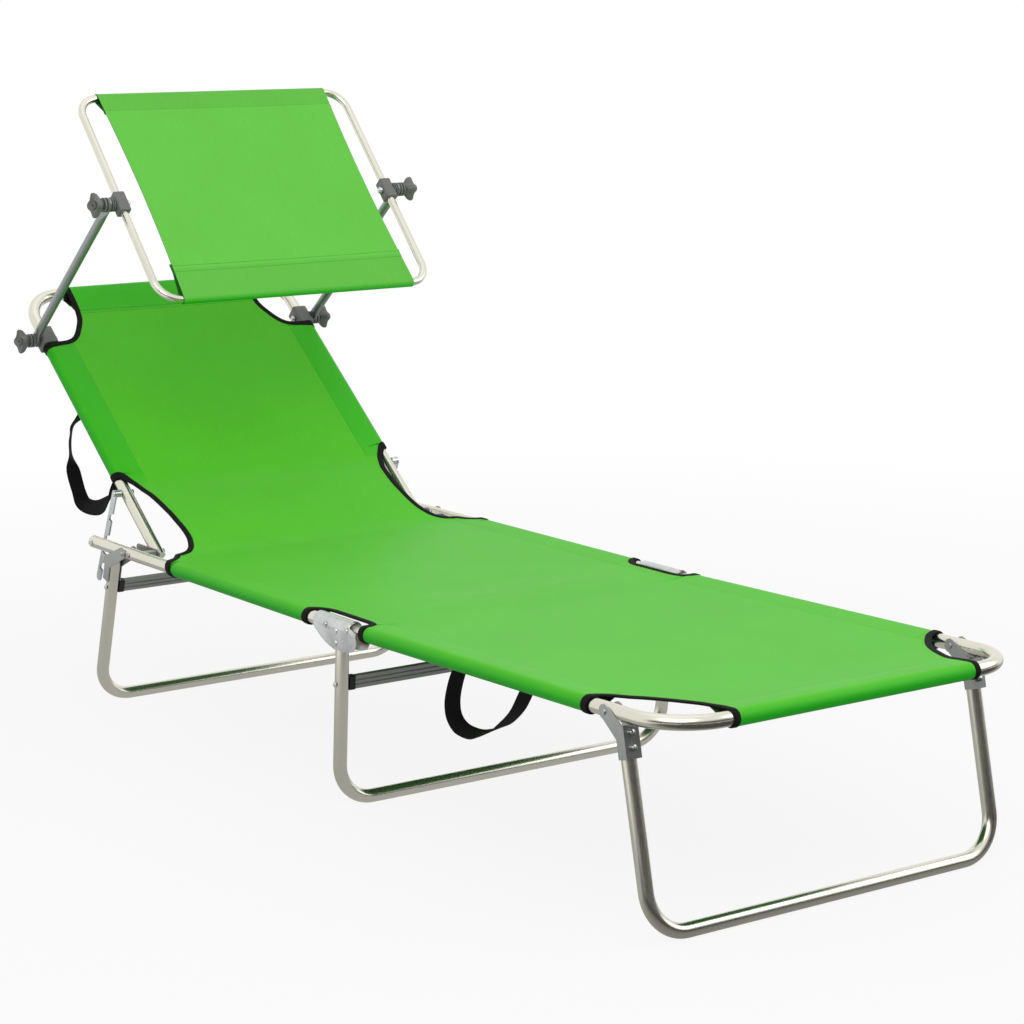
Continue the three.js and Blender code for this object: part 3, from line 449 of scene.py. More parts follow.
def stitch_group():
    """Rows of stitches from a seam's coordinates: distance across it and place along it."""
    sizes = {"Spacing": 6 * MM, "Length": 4 * MM, "Thread": 0.4 * MM}
    group, given, end = new_group("stitch_rows", sizes, ["Stitch", "Pucker", "Past", "Distance"])
    across, along, _ = add(group, "SeparateXYZ", Vector=given["Vector"]).outputs
    half = maths(group, "MULTIPLY", given["Spacing"], 0.5)
    row = maths(group, "ABSOLUTE", maths(group, "SUBTRACT", maths(group, "ABSOLUTE", across), half))
    cycle = maths(group, "FRACT", maths(group, "DIVIDE", along, given["Length"]))
    dash = maths(group, "LESS_THAN", maths(group, "ABSOLUTE", maths(group, "SUBTRACT", cycle, 0.5)), 0.36)
    stitch = maths(group, "MULTIPLY", dash, maths(group, "LESS_THAN", row, given["Thread"]))
    dent = maths(group, "DIVIDE", row, maths(group, "MULTIPLY", given["Thread"], 5.0))
    past = ramp(group, across, -0.4 * MM, 0.4 * MM)
    wire(group, end, Stitch=stitch, Pucker=maths(group, "MINIMUM", dent, 1.0), Past=past, Distance=across)
    return group


def mottle_group():
    """Uneven tone from Object coordinates, in two grain sizes."""
    group, given, end = new_group("mottle", {"Coarse": 6.0, "Fine": 90.0}, ["Tone", "Grain"])
    tone = noise(group, given["Vector"], given["Coarse"], 3.0)
    wire(group, end, Tone=tone, Grain=noise(group, given["Vector"], given["Fine"], 2.0, 0.6))
    return group


GROUP_MAKERS = {"weave": weave_group, "stitch": stitch_group, "mottle": mottle_group}
GROUPS = {}


def placed(tree, name, **values):
    """Outputs of a node group, which is built once, placed with its own values."""
    if name not in GROUPS:
        GROUPS[name] = GROUP_MAKERS[name]()
    node = add(tree, "Group")
    node.node_tree = GROUPS[name]
    return wire(tree, node, **values).outputs


def new_material(name):
    material = bpy.data.materials.new(name)
    material.use_nodes = True
    return material, material.node_tree, material.node_tree.nodes["Principled BSDF"]


def bumped(tree, shader, height, distance, strength, **below):
    normal = add(tree, "Bump", Height=height, Distance=distance, Strength=strength, **below).outputs[0]
    wire(tree, shader, Normal=normal)
    return normal


def shade(colour, factor=1.0):
    return tuple(min(c * factor, 1.0) for c in colour[:3]) + (1.0,)


def mottled(name, colour, roughness, tones, uneven, scales, grain, depth, metallic):
    """Material whose tone and roughness vary in coarse patches and a fine grain."""
    material, tree, shader = new_material(name)
    place = add(tree, "TexCoord").outputs["Object"]
    tone, fine = placed(tree, "mottle", Vector=place, Coarse=scales[0], Fine=scales[1])
    patches = varied(tree, tone, roughness - uneven, roughness + uneven)
    rough = maths(tree, "ADD", patches, varied(tree, fine, -grain, grain))
    body = mix_colour(tree, varied(tree, tone), *(shade(colour, factor) for factor in tones))
    wire(tree, shader, Base_Color=body, Roughness=rough, Metallic=metallic)
    bumped(tree, shader, fine, depth, 0.5)
    return material


def metal(name, colour, roughness, metallic=1.0, grain=0.02, coarse=5.0, depth=0.01 * MM, patchy=0.055):
    """Satin metal with uneven tone and fine grain."""
    tones = (1 - patchy, 1 + patchy)
    return mottled(name, colour, roughness, tones, 0.03, (coarse, 420.0), grain, depth, metallic)


def plastic(name, colour, roughness):
    """Moulded plastic with a fine spark-eroded grain."""
    return mottled(name, colour, roughness, (0.92, 1.06), 0.0, (25.0, 1400.0), 0.06, 0.12 * MM, 0.0)


def coated_cloth(name, colour, hem, turned, end_seam, spacing=0.0, side_seam=HEM, wrap=18 * MM, double=None):
    """Coated woven cloth: fine plain weave, faint streaks along the threads, hems and sewn rows.

    The seams lie at their distances before the tube's top, and over the wrap the cloth is painted deeper in
    colour: a painted shade where it rolls down round the tube.
    Where the cloth's length passes double, the double cloth of the hems shows darker.
    """
    material, tree, shader = new_material(name)
    flat = flat_map(tree, "weave")

    def seam(layer, distance, gap):
        moved = add(tree, "Mapping", Vector=flat_map(tree, layer), Location=(distance, 0, 0))
        return placed(tree, "stitch", Vector=moved.outputs[0], Spacing=gap)

    side, end = seam("sides", side_seam, 0.0), seam("ends", end_seam, spacing)
    threads = placed(tree, "weave", Vector=flat, Pitch=0.6 * MM)["Height"]
    streak = add(tree, "Mapping", Vector=flat, Scale=(900, 30, 1)).outputs[0]
    tone = maths(tree, "ADD", varied(tree, noise(tree, streak, 1.0), -0.04, 0.04),
                 varied(tree, noise(tree, flat, 7.0, 3.0), -0.03, 0.03))
    tone = maths(tree, "ADD", tone, ramp(tree, threads, 0.0, 1.0, -0.06, 0.02))
    past = maths(tree, "MAXIMUM", side["Past"], end["Past"])
    body = shade(colour)
    if double is not None:
        run = add(tree, "SeparateXYZ", Vector=flat).outputs[1]
        length = ramp(tree, run, double - 20 * MM, double + 30 * MM)
        body = mix_colour(tree, maths(tree, "MULTIPLY", past, length), body, hem)
    # Painted shade: over the wrap the cloth is mixed towards the turned colour, where it rolls down round the
    # tube.
    painted_roll_shade = maths(tree, "MAXIMUM", *(ramp(tree, row["Distance"], reach + wrap * 0.15, reach + wrap)
                                      for row, reach in ((side, side_seam), (end, end_seam))))
    body = mix_colour(tree, painted_roll_shade, body, turned)
    # Painted shade: faces marked as the inner side get a darker green.
    inside = add(tree, "Attribute")
    inside.attribute_name = "lining"
    body = mix_colour(tree, inside.outputs["Fac"], body, shade(user_colour("lining")))
    shaded = add(tree, "HueSaturation", Color=body, Value=maths(tree, "ADD", tone, 1.0))
    stitch = maths(tree, "MAXIMUM", maths(tree, "MULTIPLY", side["Stitch"], 0.4),
                   maths(tree, "MULTIPLY", end["Stitch"], 1.0 if spacing else 0.25))
    body = mix_colour(tree, stitch, shaded.outputs[0], shade(turned, 0.5))
    wire(tree, shader, Base_Color=body, Roughness=0.5, Specular_IOR_Level=0.23)
    fine = bumped(tree, shader, threads, 0.04 * MM, 0.4)
    pucker = maths(tree, "MINIMUM", side["Pucker"], end["Pucker"])
    step = maths(tree, "ADD", pucker, maths(tree, "MULTIPLY", past, 0.8))
    bumped(tree, shader, step, 0.3 * MM, 0.6, Normal=fine)
    return material


def webbing(name, colour, pitch):
    """Coarse woven tape with ribs along its length."""
    material, tree, shader = new_material(name)
    threads = placed(tree, "weave", Vector=flat_map(tree, "weave"), Pitch=pitch)["Height"]
    body = mix_colour(tree, threads, shade(colour, 0.5), shade(colour, 1.5))
    wire(tree, shader, Base_Color=body, Roughness=0.8, Specular_IOR_Level=0.15)
    bumped(tree, shader, threads, 0.3 * MM, 0.7)
    return material


# Sizes and colours a user would change


class LoungerCloth(PropertyGroup):
    seam_step: FloatProperty(name="Seam step", description="Drop from the tube's top to the seam beside it",
                             default=1.8 * MM, unit="LENGTH")
    seat_sag: FloatProperty(name="Bed sag", description="Sag of the seat and foot cloth at its middle",
                            default=4 * MM, unit="LENGTH")
    back_sag: FloatProperty(name="Back sag", description="Sag of the back cloth at its middle",
                            default=5 * MM, unit="LENGTH")
    tape_width: FloatProperty(name="Binding width", description="Width of the black tape on the cut-outs",
                              default=9 * MM, unit="LENGTH")
    tape_thick: FloatProperty(name="Binding thickness", description="Thickness of the folded tape",
                              default=3 * MM, unit="LENGTH")
    row_pitch: FloatProperty(name="Row pitch", description="Distance between rows of the cloth mesh",
                             default=9 * MM, unit="LENGTH")


class LoungerColours(PropertyGroup):
    cloth: FloatVectorProperty(name="Cloth", description="Colour of the bed cloth",
                               subtype="COLOR", default=(0.08, 0.535, 0.0115))
    hem: FloatVectorProperty(name="Hem", description="Colour of the cloth where it lies double",
                             subtype="COLOR", default=(0.042, 0.495, 0.0075))
    # Painted shade: the deeper green painted where the cloth rolls down round a tube. The stitches are drawn in
    # half of this colour.
    turned: FloatVectorProperty(name="Turned cloth", description="Colour of the cloth pulled round a tube",
                                subtype="COLOR", default=(0.004, 0.37, 0.001))
    # Painted shade: the darker green painted on the cloth's inner side, which in truth has the same colour as the
    # outer side.
    lining: FloatVectorProperty(name="Lining", description="Colour of the cloth's inner side",
                                subtype="COLOR", default=(0.022, 0.165, 0.015))
    # Painted light: the canopy's green is the bed cloth's green painted lighter and whiter, for the light and
    # sheen that the canopy catches.
    canopy: FloatVectorProperty(name="Canopy", description="Colour of the canopy's thinner cloth",
                                subtype="COLOR", default=(0.125, 0.545, 0.055))
    tube: FloatVectorProperty(name="Tube", description="Colour of the frame tube",
                              subtype="COLOR", default=(0.73, 0.715, 0.61))
    arm: FloatVectorProperty(name="Arm", description="Colour of the canopy's arms",
                             subtype="COLOR", default=(0.31, 0.335, 0.325))
    steel: FloatVectorProperty(name="Steel", description="Colour of the leg brackets",
                               subtype="COLOR", default=(0.4, 0.41, 0.4))
    zinc: FloatVectorProperty(name="Zinc", description="Colour of pressed brackets",
                              subtype="COLOR", default=(0.6, 0.615, 0.61))
    spreader: FloatVectorProperty(name="Spreader", description="Colour of the bars between the legs",
                                  subtype="COLOR", default=(0.31, 0.31, 0.3))
    grip: FloatVectorProperty(name="Grip", description="Colour of clamps and knobs",
                              subtype="COLOR", default=(0.145, 0.147, 0.142))
    black: FloatVectorProperty(name="Black", description="Colour of caps, binding and straps",
                               subtype="COLOR", default=(0.006, 0.006, 0.006))


def user_colour(name):
    return tuple(getattr(bpy.context.scene.lounger_colours, name))


def bed_cloth(name, colour, **seams):
    return coated_cloth(name, colour, shade(user_colour("hem")), shade(user_colour("turned")), **seams)


def canopy_cloth(name, colour, **seams):
    """Thinner cloth, which shows less of its hems."""
    # The canopy's painted shade over the wrap is lighter than the bed cloth's.
    return coated_cloth(name, colour, shade(colour, 0.9), shade(user_colour("turned"), 1.3), **seams)


# Each finish: how it is made, its material's name, the user's colour, and its own values.
FINISHES = {
    "tube": (metal, "satin_tube", "tube", {"roughness": 0.23, "grain": 0.012, "depth": 0.005 * MM}),
    "arm": (metal, "grey_arm", "arm", {"roughness": 0.38, "metallic": 0.85}),
    "steel": (metal, "steel_plate", "steel", {"roughness": 0.3, "coarse": 30.0}),
    "zinc": (metal, "zinc_plate", "zinc",
             {"roughness": 0.24, "coarse": 45.0, "grain": 0.04, "depth": 0.03 * MM, "patchy": 0.14}),
    "spreader": (metal, "grey_spreader", "spreader", {"roughness": 0.42, "metallic": 0.6}),
    "grip": (plastic, "grey_plastic", "grip", {"roughness": 0.5}),
    "black": (plastic, "black_plastic", "black", {"roughness": 0.45}),
    "cloth": (bed_cloth, "green_cloth", "cloth",
              {"end_seam": HEAD_SEAM, "spacing": 6 * MM, "double": BACK_START}),
    "foot_cloth": (bed_cloth, "green_foot_cloth", "cloth", {"end_seam": HEM}),
    "canopy": (canopy_cloth, "green_canopy_cloth", "canopy",
               {"end_seam": 51.5 * MM, "spacing": 11 * MM, "side_seam": 30 * MM, "wrap": 11 * MM,
                "double": -1.0}),
    "tape": (webbing, "black_binding", "black", {"pitch": 0.8 * MM}),
    "webbing": (webbing, "black_webbing", "black", {"pitch": 1.6 * MM}),
}
MATERIALS = {}


def give(piece, name):
    """Gives a piece its finish, which is made once."""
    if name not in MATERIALS:
        make, title, key, values = FINISHES[name]
        MATERIALS[name] = make(title, user_colour(key), **values)
    piece.data.materials.clear()
    piece.data.materials.append(MATERIALS[name])


def stand_in(piece, name, node):
    """Gives a piece its finish and the body of the CAD node that it replaces, and hides that node."""
    give(piece, name)
    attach(piece, BODY_OF[node])
    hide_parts(node)


def dress(node, name, soften=0.0):
    """Copy of a CAD node with its doubles merged, its rounds smooth and its edges softened."""
    piece = frame["nodes"][node].copy()
    piece.data = frame["nodes"][node].data.copy()
    for key in list(piece.keys()):
        del piece[key]
    piece.parent = None
    piece.name = node + "_finish"
    bpy.context.scene.collection.objects.link(piece)
    bm = bmesh.new()
    bm.from_mesh(piece.data)
    bmesh.ops.remove_doubles(bm, verts=bm.verts, dist=MERGE)
    bmesh.ops.dissolve_limit(bm, angle_limit=math.radians(1), verts=bm.verts, edges=bm.edges)
    smooth_faces(bm, DRESS_CREASE)
    bm.to_mesh(piece.data)
    bm.free()
    if soften:
        bevel = piece.modifiers.new("edges", "BEVEL")
        bevel.width = soften
        bevel.segments = 2
        bevel.limit_method = "ANGLE"
        bevel.angle_limit = math.radians(DRESS_CREASE)
        bevel.harden_normals = False
    stand_in(piece, name, node)


def pair(stem):
    return [f"{stem}_{side}" for side in SIDES]


def box_of(node):
    """Low and high corner of a CAD node."""
    return [Vector(corner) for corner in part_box(node)]


# Cloth round tubes


class Track:
    """Path of a cloth's middle layer in the Y-Z plane, as straight and bent lengths."""

    def __init__(self, pieces, side=1):
        self.side = side
        self.parts = []
        at, point, angle = 0.0, Vector((0, 0)), 0.0
        for length, turn in pieces:
            self.parts.append((at, point.copy(), angle, turn / length))
            point, angle = self.step(point, angle, turn / length, length)
            at += length
        self.shift = Vector((0, 0))
        self.turn = 0.0

    @staticmethod
    def step(point, angle, bend, length):
        if abs(bend) < TINY:
            return point + Vector((math.cos(angle), math.sin(angle))) * length, angle
        end = angle + bend * length
        chord = Vector((math.sin(end) - math.sin(angle), math.cos(angle) - math.cos(end))) / bend
        return point + chord, end

    def plain(self, t):
        part = next((part for part in reversed(self.parts) if t >= part[0] - TINY), self.parts[0])
        start, point, angle, bend = part
        return self.step(point, angle, bend, t - start)

    def put(self, t, point, angle):
        """Turns and moves the path so that it passes the point at t with that heading."""
        here, plain_angle = self.plain(t)
        self.turn = angle - plain_angle
        self.shift = point.yz - Matrix.Rotation(self.turn, 2) @ here

    def at(self, t):
        """Point and outward normal in the Y-Z plane."""
        here, angle = self.plain(t)
        angle += self.turn
        normal = Vector((-math.sin(angle), math.cos(angle))) * self.side
        return Matrix.Rotation(self.turn, 2) @ here + self.shift, normal


def sleeve_pieces(radius, reach, gap, tail):
    """Lengths and turns round a tube and back under the sheet, which is met at the reach."""
    low, high = LEAST_LEAN, MOST_LEAN
    for _ in range(LEAN_HALVINGS):
        lean = (low + high) / 2
        rise = radius * (1 + math.cos(lean)) - gap
        if radius * math.sin(lean) + rise / math.tan(lean) > reach:
            low = lean
        else:
            high = lean
    wrap = math.pi + lean
    return [(radius * wrap, wrap), (rise / math.sin(lean), 0), (FLAP_EASE, -lean), (tail, 0)]


HEAD_SLEEVE = sleeve_pieces(SLEEVE, HEAD_REACH, FLAP_GAP, 8 * MM)
FOOT_SLEEVE = sleeve_pieces(SLEEVE, FOOT_REACH, FLAP_GAP, 6 * MM)


def turned_back(pieces):
    """The same sleeve, bent the other way."""
    return [(length, -turn) for length, turn in pieces]


def sleeve_rows(start, pieces):
    """Rows of the mesh over such a sleeve, outwards from its start."""
    rows = []
    for (length, turn), count in zip(pieces, SLEEVE_ROWS):
        rows += spread(start, start + length, count)[1:]
        start += length
    return rows


def hemmed(half):
    """Flat half-width of a cloth that goes round a rail at the half-width, with its hem."""
    return half + WRAP + HEM


class Cloth:
    """A cloth stretched between two rails: flat width and length give each point."""

    def __init__(self, track, half, sleeve, edge, sag):
        self.track, self.half, self.sleeve, self.edge, self.sag = track, half, sleeve, edge, sag

    def full(self, t):
        """Flat half-width where the cloth goes round the rail."""
        return hemmed(self.half(t))

    def column(self, zone, share, fixed, t):
        """Flat distance of a column, given by a zone of the width and its share of it."""
        half = self.half(t)
        marks = (0, fixed, half - HEM, half, half + WRAP, half + WRAP + HEM)
        return marks[zone] + (marks[zone + 1] - marks[zone]) * share

    def section(self, s, t):
        """X, height over the rail's centre and the outward normal there, for a flat distance s."""
        half, r = self.half(t), self.sleeve
        if s <= half:
            return s, r, Vector((0, 1))
        angle = min((s - half) / r, WRAP_TURN)
        out = Vector((math.sin(angle), math.cos(angle)))
        if angle < WRAP_TURN:
            return half + r * out.x, r * out.y, out
        along = Vector((out.y, -out.x)) * (s - half - r * WRAP_TURN)
        return half + r * out.x + along.x, r * out.y + along.y - HEM_DROP, out

    def point(self, s, t):
        """Place and outward normal of a flat point, whose distance s is negative on the left."""
        side = -1 if s < 0 else 1
        x, rise, out = self.section(abs(s), t)
        here, normal = self.track.at(t)
        flat = here + normal * (rise - self.sleeve - self.sag(abs(x), t))
        return Vector((x * side, *flat)), Vector((out.x * side, *(normal * out.y))).normalized()


class CanopyCloth(Cloth):
    """Cloth with free sides, so its columns end at the cut edge."""

    def full(self, t):
        return self.edge(t)

    def section(self, s, t):
        return s, self.sleeve, Vector((0, 1))

    def column(self, zone, share, fixed, t):
        marks = (0, fixed, self.edge(t) - fixed, self.edge(t))
        return marks[zone] + (marks[zone + 1] - marks[zone]) * share


def cloth_mesh(name, cloth, rows, counts, fixed, seams):
    """Grid of the flat cloth put in place, and its flat area.

    The counts are columns in each zone from the middle outwards. Past the fixed width they follow the cut.
    """
    columns = [(0, 0.0)] + [(zone, i / n) for zone, n in enumerate(counts) for i in range(1, n + 1)]
    last = len(columns) - 1
    bm = grid(2 * last, len(rows) - 1)
    weave, sides, ends = (bm.loops.layers.uv.new(title) for title in ("weave", "sides", "ends"))
    flat, facing = {}, {}
    for v in bm.verts:
        j = round((v.co.x + 1) * last) - last
        t = rows[round((v.co.y + 1) / 2 * (len(rows) - 1))]
        s = cloth.column(*columns[abs(j)], fixed, t)
        if s > fixed:
            s = fixed + (s - fixed) * (cloth.edge(t) - fixed) / (cloth.full(t) - fixed)
        s = math.copysign(s, j) if j else 0.0
        flat[v] = Vector((s, t))
        v.co, facing[v] = cloth.point(s, t)
    area = 0.0
    for face in bm.faces:
        corners = [flat[v] for v in face.verts]
        area += abs(sum(a.cross(b) for a, b in zip(corners, corners[1:] + corners[:1]))) / 2
        for loop in face.loops:
            loop[weave].uv = flat[loop.vert]
            loop[sides].uv, loop[ends].uv = seams(*flat[loop.vert])
    bm.normal_update()
    middle = bm.faces[:][len(bm.faces) // 2]
    if middle.normal.dot(facing[middle.verts[0]]) < 0:
        bmesh.ops.reverse_faces(bm, faces=bm.faces)
    for v in bm.verts:
        v.co += facing[v] * CLOTH_THICK / 2
    # Marks the faces of the inner side, where the painted underside shade goes.
    lining = bm.loops.layers.float.new("lining")
    outer = set(bm.faces)
    bmesh.ops.solidify(bm, geom=bm.faces[:], thickness=CLOTH_THICK)
    for face in bm.faces:
        for loop in face.loops:
            loop[lining] = 0.0 if face in outer else 1.0
    return finished(name, bm, CLOTH_CREASE), area


# Bed cloth


def widths(pairs):
    """Pairs of length and half-width in millimetres, in metres."""
    return [(t * MM, s * MM) for t, s in pairs]


def web_sag(x, t, half, t0, t1, depth):
    """Hollow of a web between two rails and two ends."""
    across = 1 - min(x / half, 1) ** 2
    return depth * across * smoothstep(t0, t0 + WEB_EASE, t) * (1 - smoothstep(t1 - WEB_EASE, t1, t))


def with_flap(sag, end, pieces, reach):
    """The same sag, which the flap under the sheet takes over from the sheet above it."""
    start, run = end + pieces[0][0], pieces[1][0]

    def both(x, t):
        share = (t - start) / run
        return sag(x, t) if share <= 0 else -sag(x, end - reach * share) * min(share, 1)

    return both


def seam_drop(gap):
    """Share of the step down from the tube's top to the seam, at a distance from the tube."""
    return 1 - math.cos(math.pi / 2 * clamped(gap / HEM))


def upper_cloth(sizes):
    """Seat, bend and back in one length, from the middle hinge to the head tube, and its cut edge."""
    rise = RECLINE - BEND_SLOPE
    cut_in, cut_out = (BEND_RADIUS * math.tan(turn / 2) for turn in (BEND_SLOPE, rise))
    track = Track([
        (SEAT_TO_BEND - cut_in, 0), (BEND_RADIUS * BEND_SLOPE, BEND_SLOPE),
        (BEND_LENGTH - cut_in - cut_out, 0), (BEND_RADIUS * rise, rise),
        (BACK_LENGTH - BACK_WEB - cut_out, 0), *turned_back(HEAD_SLEEVE),
    ])
    track.put(0, PLACES["mid_fold"] + Vector((0, 0, SLEEVE)), 0)
    full_seat, full_back = hemmed(RAIL_X) / MM, hemmed(BACK_X) / MM
    b = BACK_START / MM
    table = widths([
        (0, 264), (21.7, 264), (32.7, 265.5), (40.7, 269), (49.7, 279), (54, 305), (MID_CUT_END, full_seat),
        (HINGE_CUT_START, full_seat), (441, 318), (455, 284), (470, 266), (482.7, 256), (486.7, 246),
        (492.5, 233), (510, 219.6), (535, 211.9), (560, 210), (591, 210), (620, 212.6), (647.5, 216.5),
        (661, 221), (b, 228), (b + 9.8, 234.8), (b + 20, 243), (b + 26, 262), (b + HINGE_CUT_END, full_back),
        (b + HEAD_CUT_START, full_back), (b + 315.5, 250), (b + 320, 213), (b + 327, 198), (b + 346, 183.5),
        (b + 374, 171), (b + 400, 168), (b + 600, 168),
    ])
    middle = SEAT_TO_BEND + BEND_LENGTH / 2

    def half(t):
        return RAIL_X if t < middle else BACK_X

    def sag(x, t):
        rail = RAIL_X + (BACK_X - RAIL_X) * smoothstep(middle - WEB_EDGE, middle + WEB_EDGE, t)
        drop = sizes.seam_step * seam_drop(rail - x) * seam_drop(HEAD_END - t)
        seat_part = web_sag(x, t, RAIL_X, -WEB_EDGE, SEAT_TO_BEND + WEB_PAST_BEND, sizes.seat_sag)
        return drop + seat_part + web_sag(x, t, BACK_X, BACK_START - WEB_EDGE, HEAD_END, sizes.back_sag)

    sagging = with_flap(sag, HEAD_END, HEAD_SLEEVE, HEAD_REACH)
    return Cloth(track, half, SLEEVE, lambda t: blend_points(table, t), sagging), table


def lower_cloth(sizes):
    """Foot end, from the middle hinge round the foot tube, and its cut edge."""
    track = Track([(FOOT_LENGTH, 0), *FOOT_SLEEVE], side=-1)
    track.put(0, PLACES["foot_fold"] + slope(FOOT_TILT)[1] * SLEEVE, math.pi + FOOT_TILT)
    full = hemmed(RAIL_X) / MM
    table = widths([
        (0, 264), (10, 264.5), (22, 267), (30, 278), (FOOT_MID_CUT_END, full),
        (FOOT_CUT_START, full), (531, 300), (536, 272), (551, 252), (577, 229), (611, 210), (646, 198),
        (665, 197), (900, 197),
    ])

    def sag(x, t):
        drop = sizes.seam_step * seam_drop(RAIL_X - x) * seam_drop(FOOT_LENGTH - t)
        return drop + web_sag(x, t, RAIL_X, -WEB_EDGE, FOOT_LENGTH, sizes.seat_sag)

    sagging = with_flap(sag, FOOT_LENGTH, FOOT_SLEEVE, FOOT_REACH)
    return Cloth(track, lambda t: RAIL_X, SLEEVE, lambda t: blend_points(table, t), sagging), table


def middle_cloth(sizes):
    """Strip over the middle hinge, and its length. It sags as its neighbours do at their ends."""
    seat, foot = PLACES["mid_fold"], PLACES["foot_fold"]
    length = seat.y - foot.y
    track = Track([(length, 0)])
    track.put(0, foot + Vector((0, 0, SLEEVE)), 0)
    share = smoothstep(0, WEB_EASE, WEB_EDGE)

    def sag(x, t):
        return sizes.seam_step * seam_drop(RAIL_X - x) + web_sag(x, 0.5, RAIL_X, 0, 1, sizes.seat_sag) * share

    return Cloth(track, lambda t: RAIL_X, SLEEVE, lambda t: MIDDLE_HALF, sag), length


def row_list(end, pitch, table, seam):
    """Rows at the pitch, closer where the cut edge moves, with one at each of its points and at the seam."""
    marks = [t for t, half in table] + [seam]
    rows = [0]
    while rows[-1] < end - NEAR:
        t = rows[-1]
        step = pitch
        while step > FINE_ROW and abs(blend_points(table, t + step) - blend_points(table, t)) > EDGE_JUMP:
            step *= 0.7
        near = [mark for mark in marks if t + NEAR < mark < t + step * 1.3]
        rows.append(min(min(near) if near else t + max(step, FINE_ROW), end))
    return rows


def bed_seams(half, end):
    """Distances past the top of the side tube and the end tube, each with the place along it."""
    return lambda s, t: ((abs(s) - half(t), t), (t - end, s))


def bend(piece):
    """Bakes the piece's place into its mesh."""
    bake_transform(piece)


def fold_foot(piece):
    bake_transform(piece)


def fold_middle(piece):
    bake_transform(piece)


class LOUNGER_OT_bed_cloth(Operator):
    """Make the bed cloth in three lengths that meet at the middle hinge"""

    bl_idname = "lounger.bed_cloth"
    bl_label = "Bed Cloth"

    def execute(self, context):
        sizes = context.scene.lounger_cloth

        def rail(t):
            return RAIL_X if t < BACK_START else BACK_X

        cloth, table = upper_cloth(sizes)
        rows = row_list(HEAD_END, sizes.row_pitch, table, HEAD_END - HEAD_SEAM)
        rows += sleeve_rows(HEAD_END, HEAD_SLEEVE)
        seams = bed_seams(rail, HEAD_END)
        piece, area = cloth_mesh("bed_cloth_upper", cloth, rows, BED_COLUMNS, WEB_FIXED, seams)
        give(piece, "cloth")
        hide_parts("seat_cloth", "bend_cloth", "back_cloth")
        bend(piece)

        cloth, table = lower_cloth(sizes)
        rows = row_list(FOOT_LENGTH, sizes.row_pitch, table, FOOT_LENGTH - HEM)
        rows += sleeve_rows(FOOT_LENGTH, FOOT_SLEEVE)
        seams = bed_seams(cloth.half, FOOT_LENGTH)
        piece, area = cloth_mesh("bed_cloth_foot", cloth, rows, BED_COLUMNS, WEB_FIXED, seams)
        give(piece, "foot_cloth")
        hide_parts("foot_cloth")
        fold_foot(piece)

        cloth, length = middle_cloth(sizes)
        rows = spread(0, length, MIDDLE_ROWS)
        seams = bed_seams(cloth.half, 1)
        piece, area = cloth_mesh("bed_cloth_middle", cloth, rows, BED_COLUMNS, WEB_FIXED, seams)
        give(piece, "foot_cloth")
        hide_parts("mid_cloth")
        fold_middle(piece)
        return {"FINISHED"}


# Binding: the tape's steps, its reach past the cut edge, and how it rises onto a tube and spreads before it

TAPE_STEP = 2.5 * MM
TAPE_SAMPLE = 0.25 * MM
TAPE_LIP = 1 * MM
TAPE_RISE_START = -2 * MM
TAPE_RISE_END = 4 * MM
TAPE_SPREAD = 0.35
TAPE_SPREAD_RUN = 16 * MM
TAPE_END = WRAP + 0.6 * HEM


def step_count(length, step):
    return max(round(length / step), 4)


def edge_path(cloth, start, end, inset):
    """Flat points at equal steps along the cut edge, moved inwards by the inset."""
    fine = [Vector((cloth.edge(t), t)) for t in spread(start, end, step_count(end - start, TAPE_SAMPLE))]
    run = run_along(fine)
    path, k = [], 0
    for d in spread(0, run[-1], step_count(run[-1], TAPE_STEP)):
        while k < len(fine) - 2 and run[k + 1] < d:
            k += 1
        share = (d - run[k]) / max(run[k + 1] - run[k], TINY)
        path.append(fine[k].lerp(fine[k + 1], min(share, 1.0)))
    ahead = [heading(path, i, 2) for i in range(len(path))]
    return [point + Vector((-way.y, way.x)) * inset for point, way in zip(path, ahead)]


def binding(name, cloth, path, side, width, thick):
    """Binding tape folded over the cut edge of a cloth, along flat points near it."""
    points, normals = [], []
    for s, t in path:
        point, normal = cloth.point(side * s, t)
        on_tube = smoothstep(TAPE_RISE_START, TAPE_RISE_END, s - cloth.half(t))
        points.append(point + normal * on_tube * CLOTH_THICK / 2)
        normals.append(normal)
    stations = []
    for i, (s, t) in enumerate(path):
        wider = 1 + TAPE_SPREAD * smoothstep(-TAPE_SPREAD_RUN, 0, s - cloth.half(t))
        stations.append((points[i], normals[i], heading(points, i).cross(normals[i]).normalized() * wider))
    return tape(name, stations, width, thick, around=16, power=0.5)


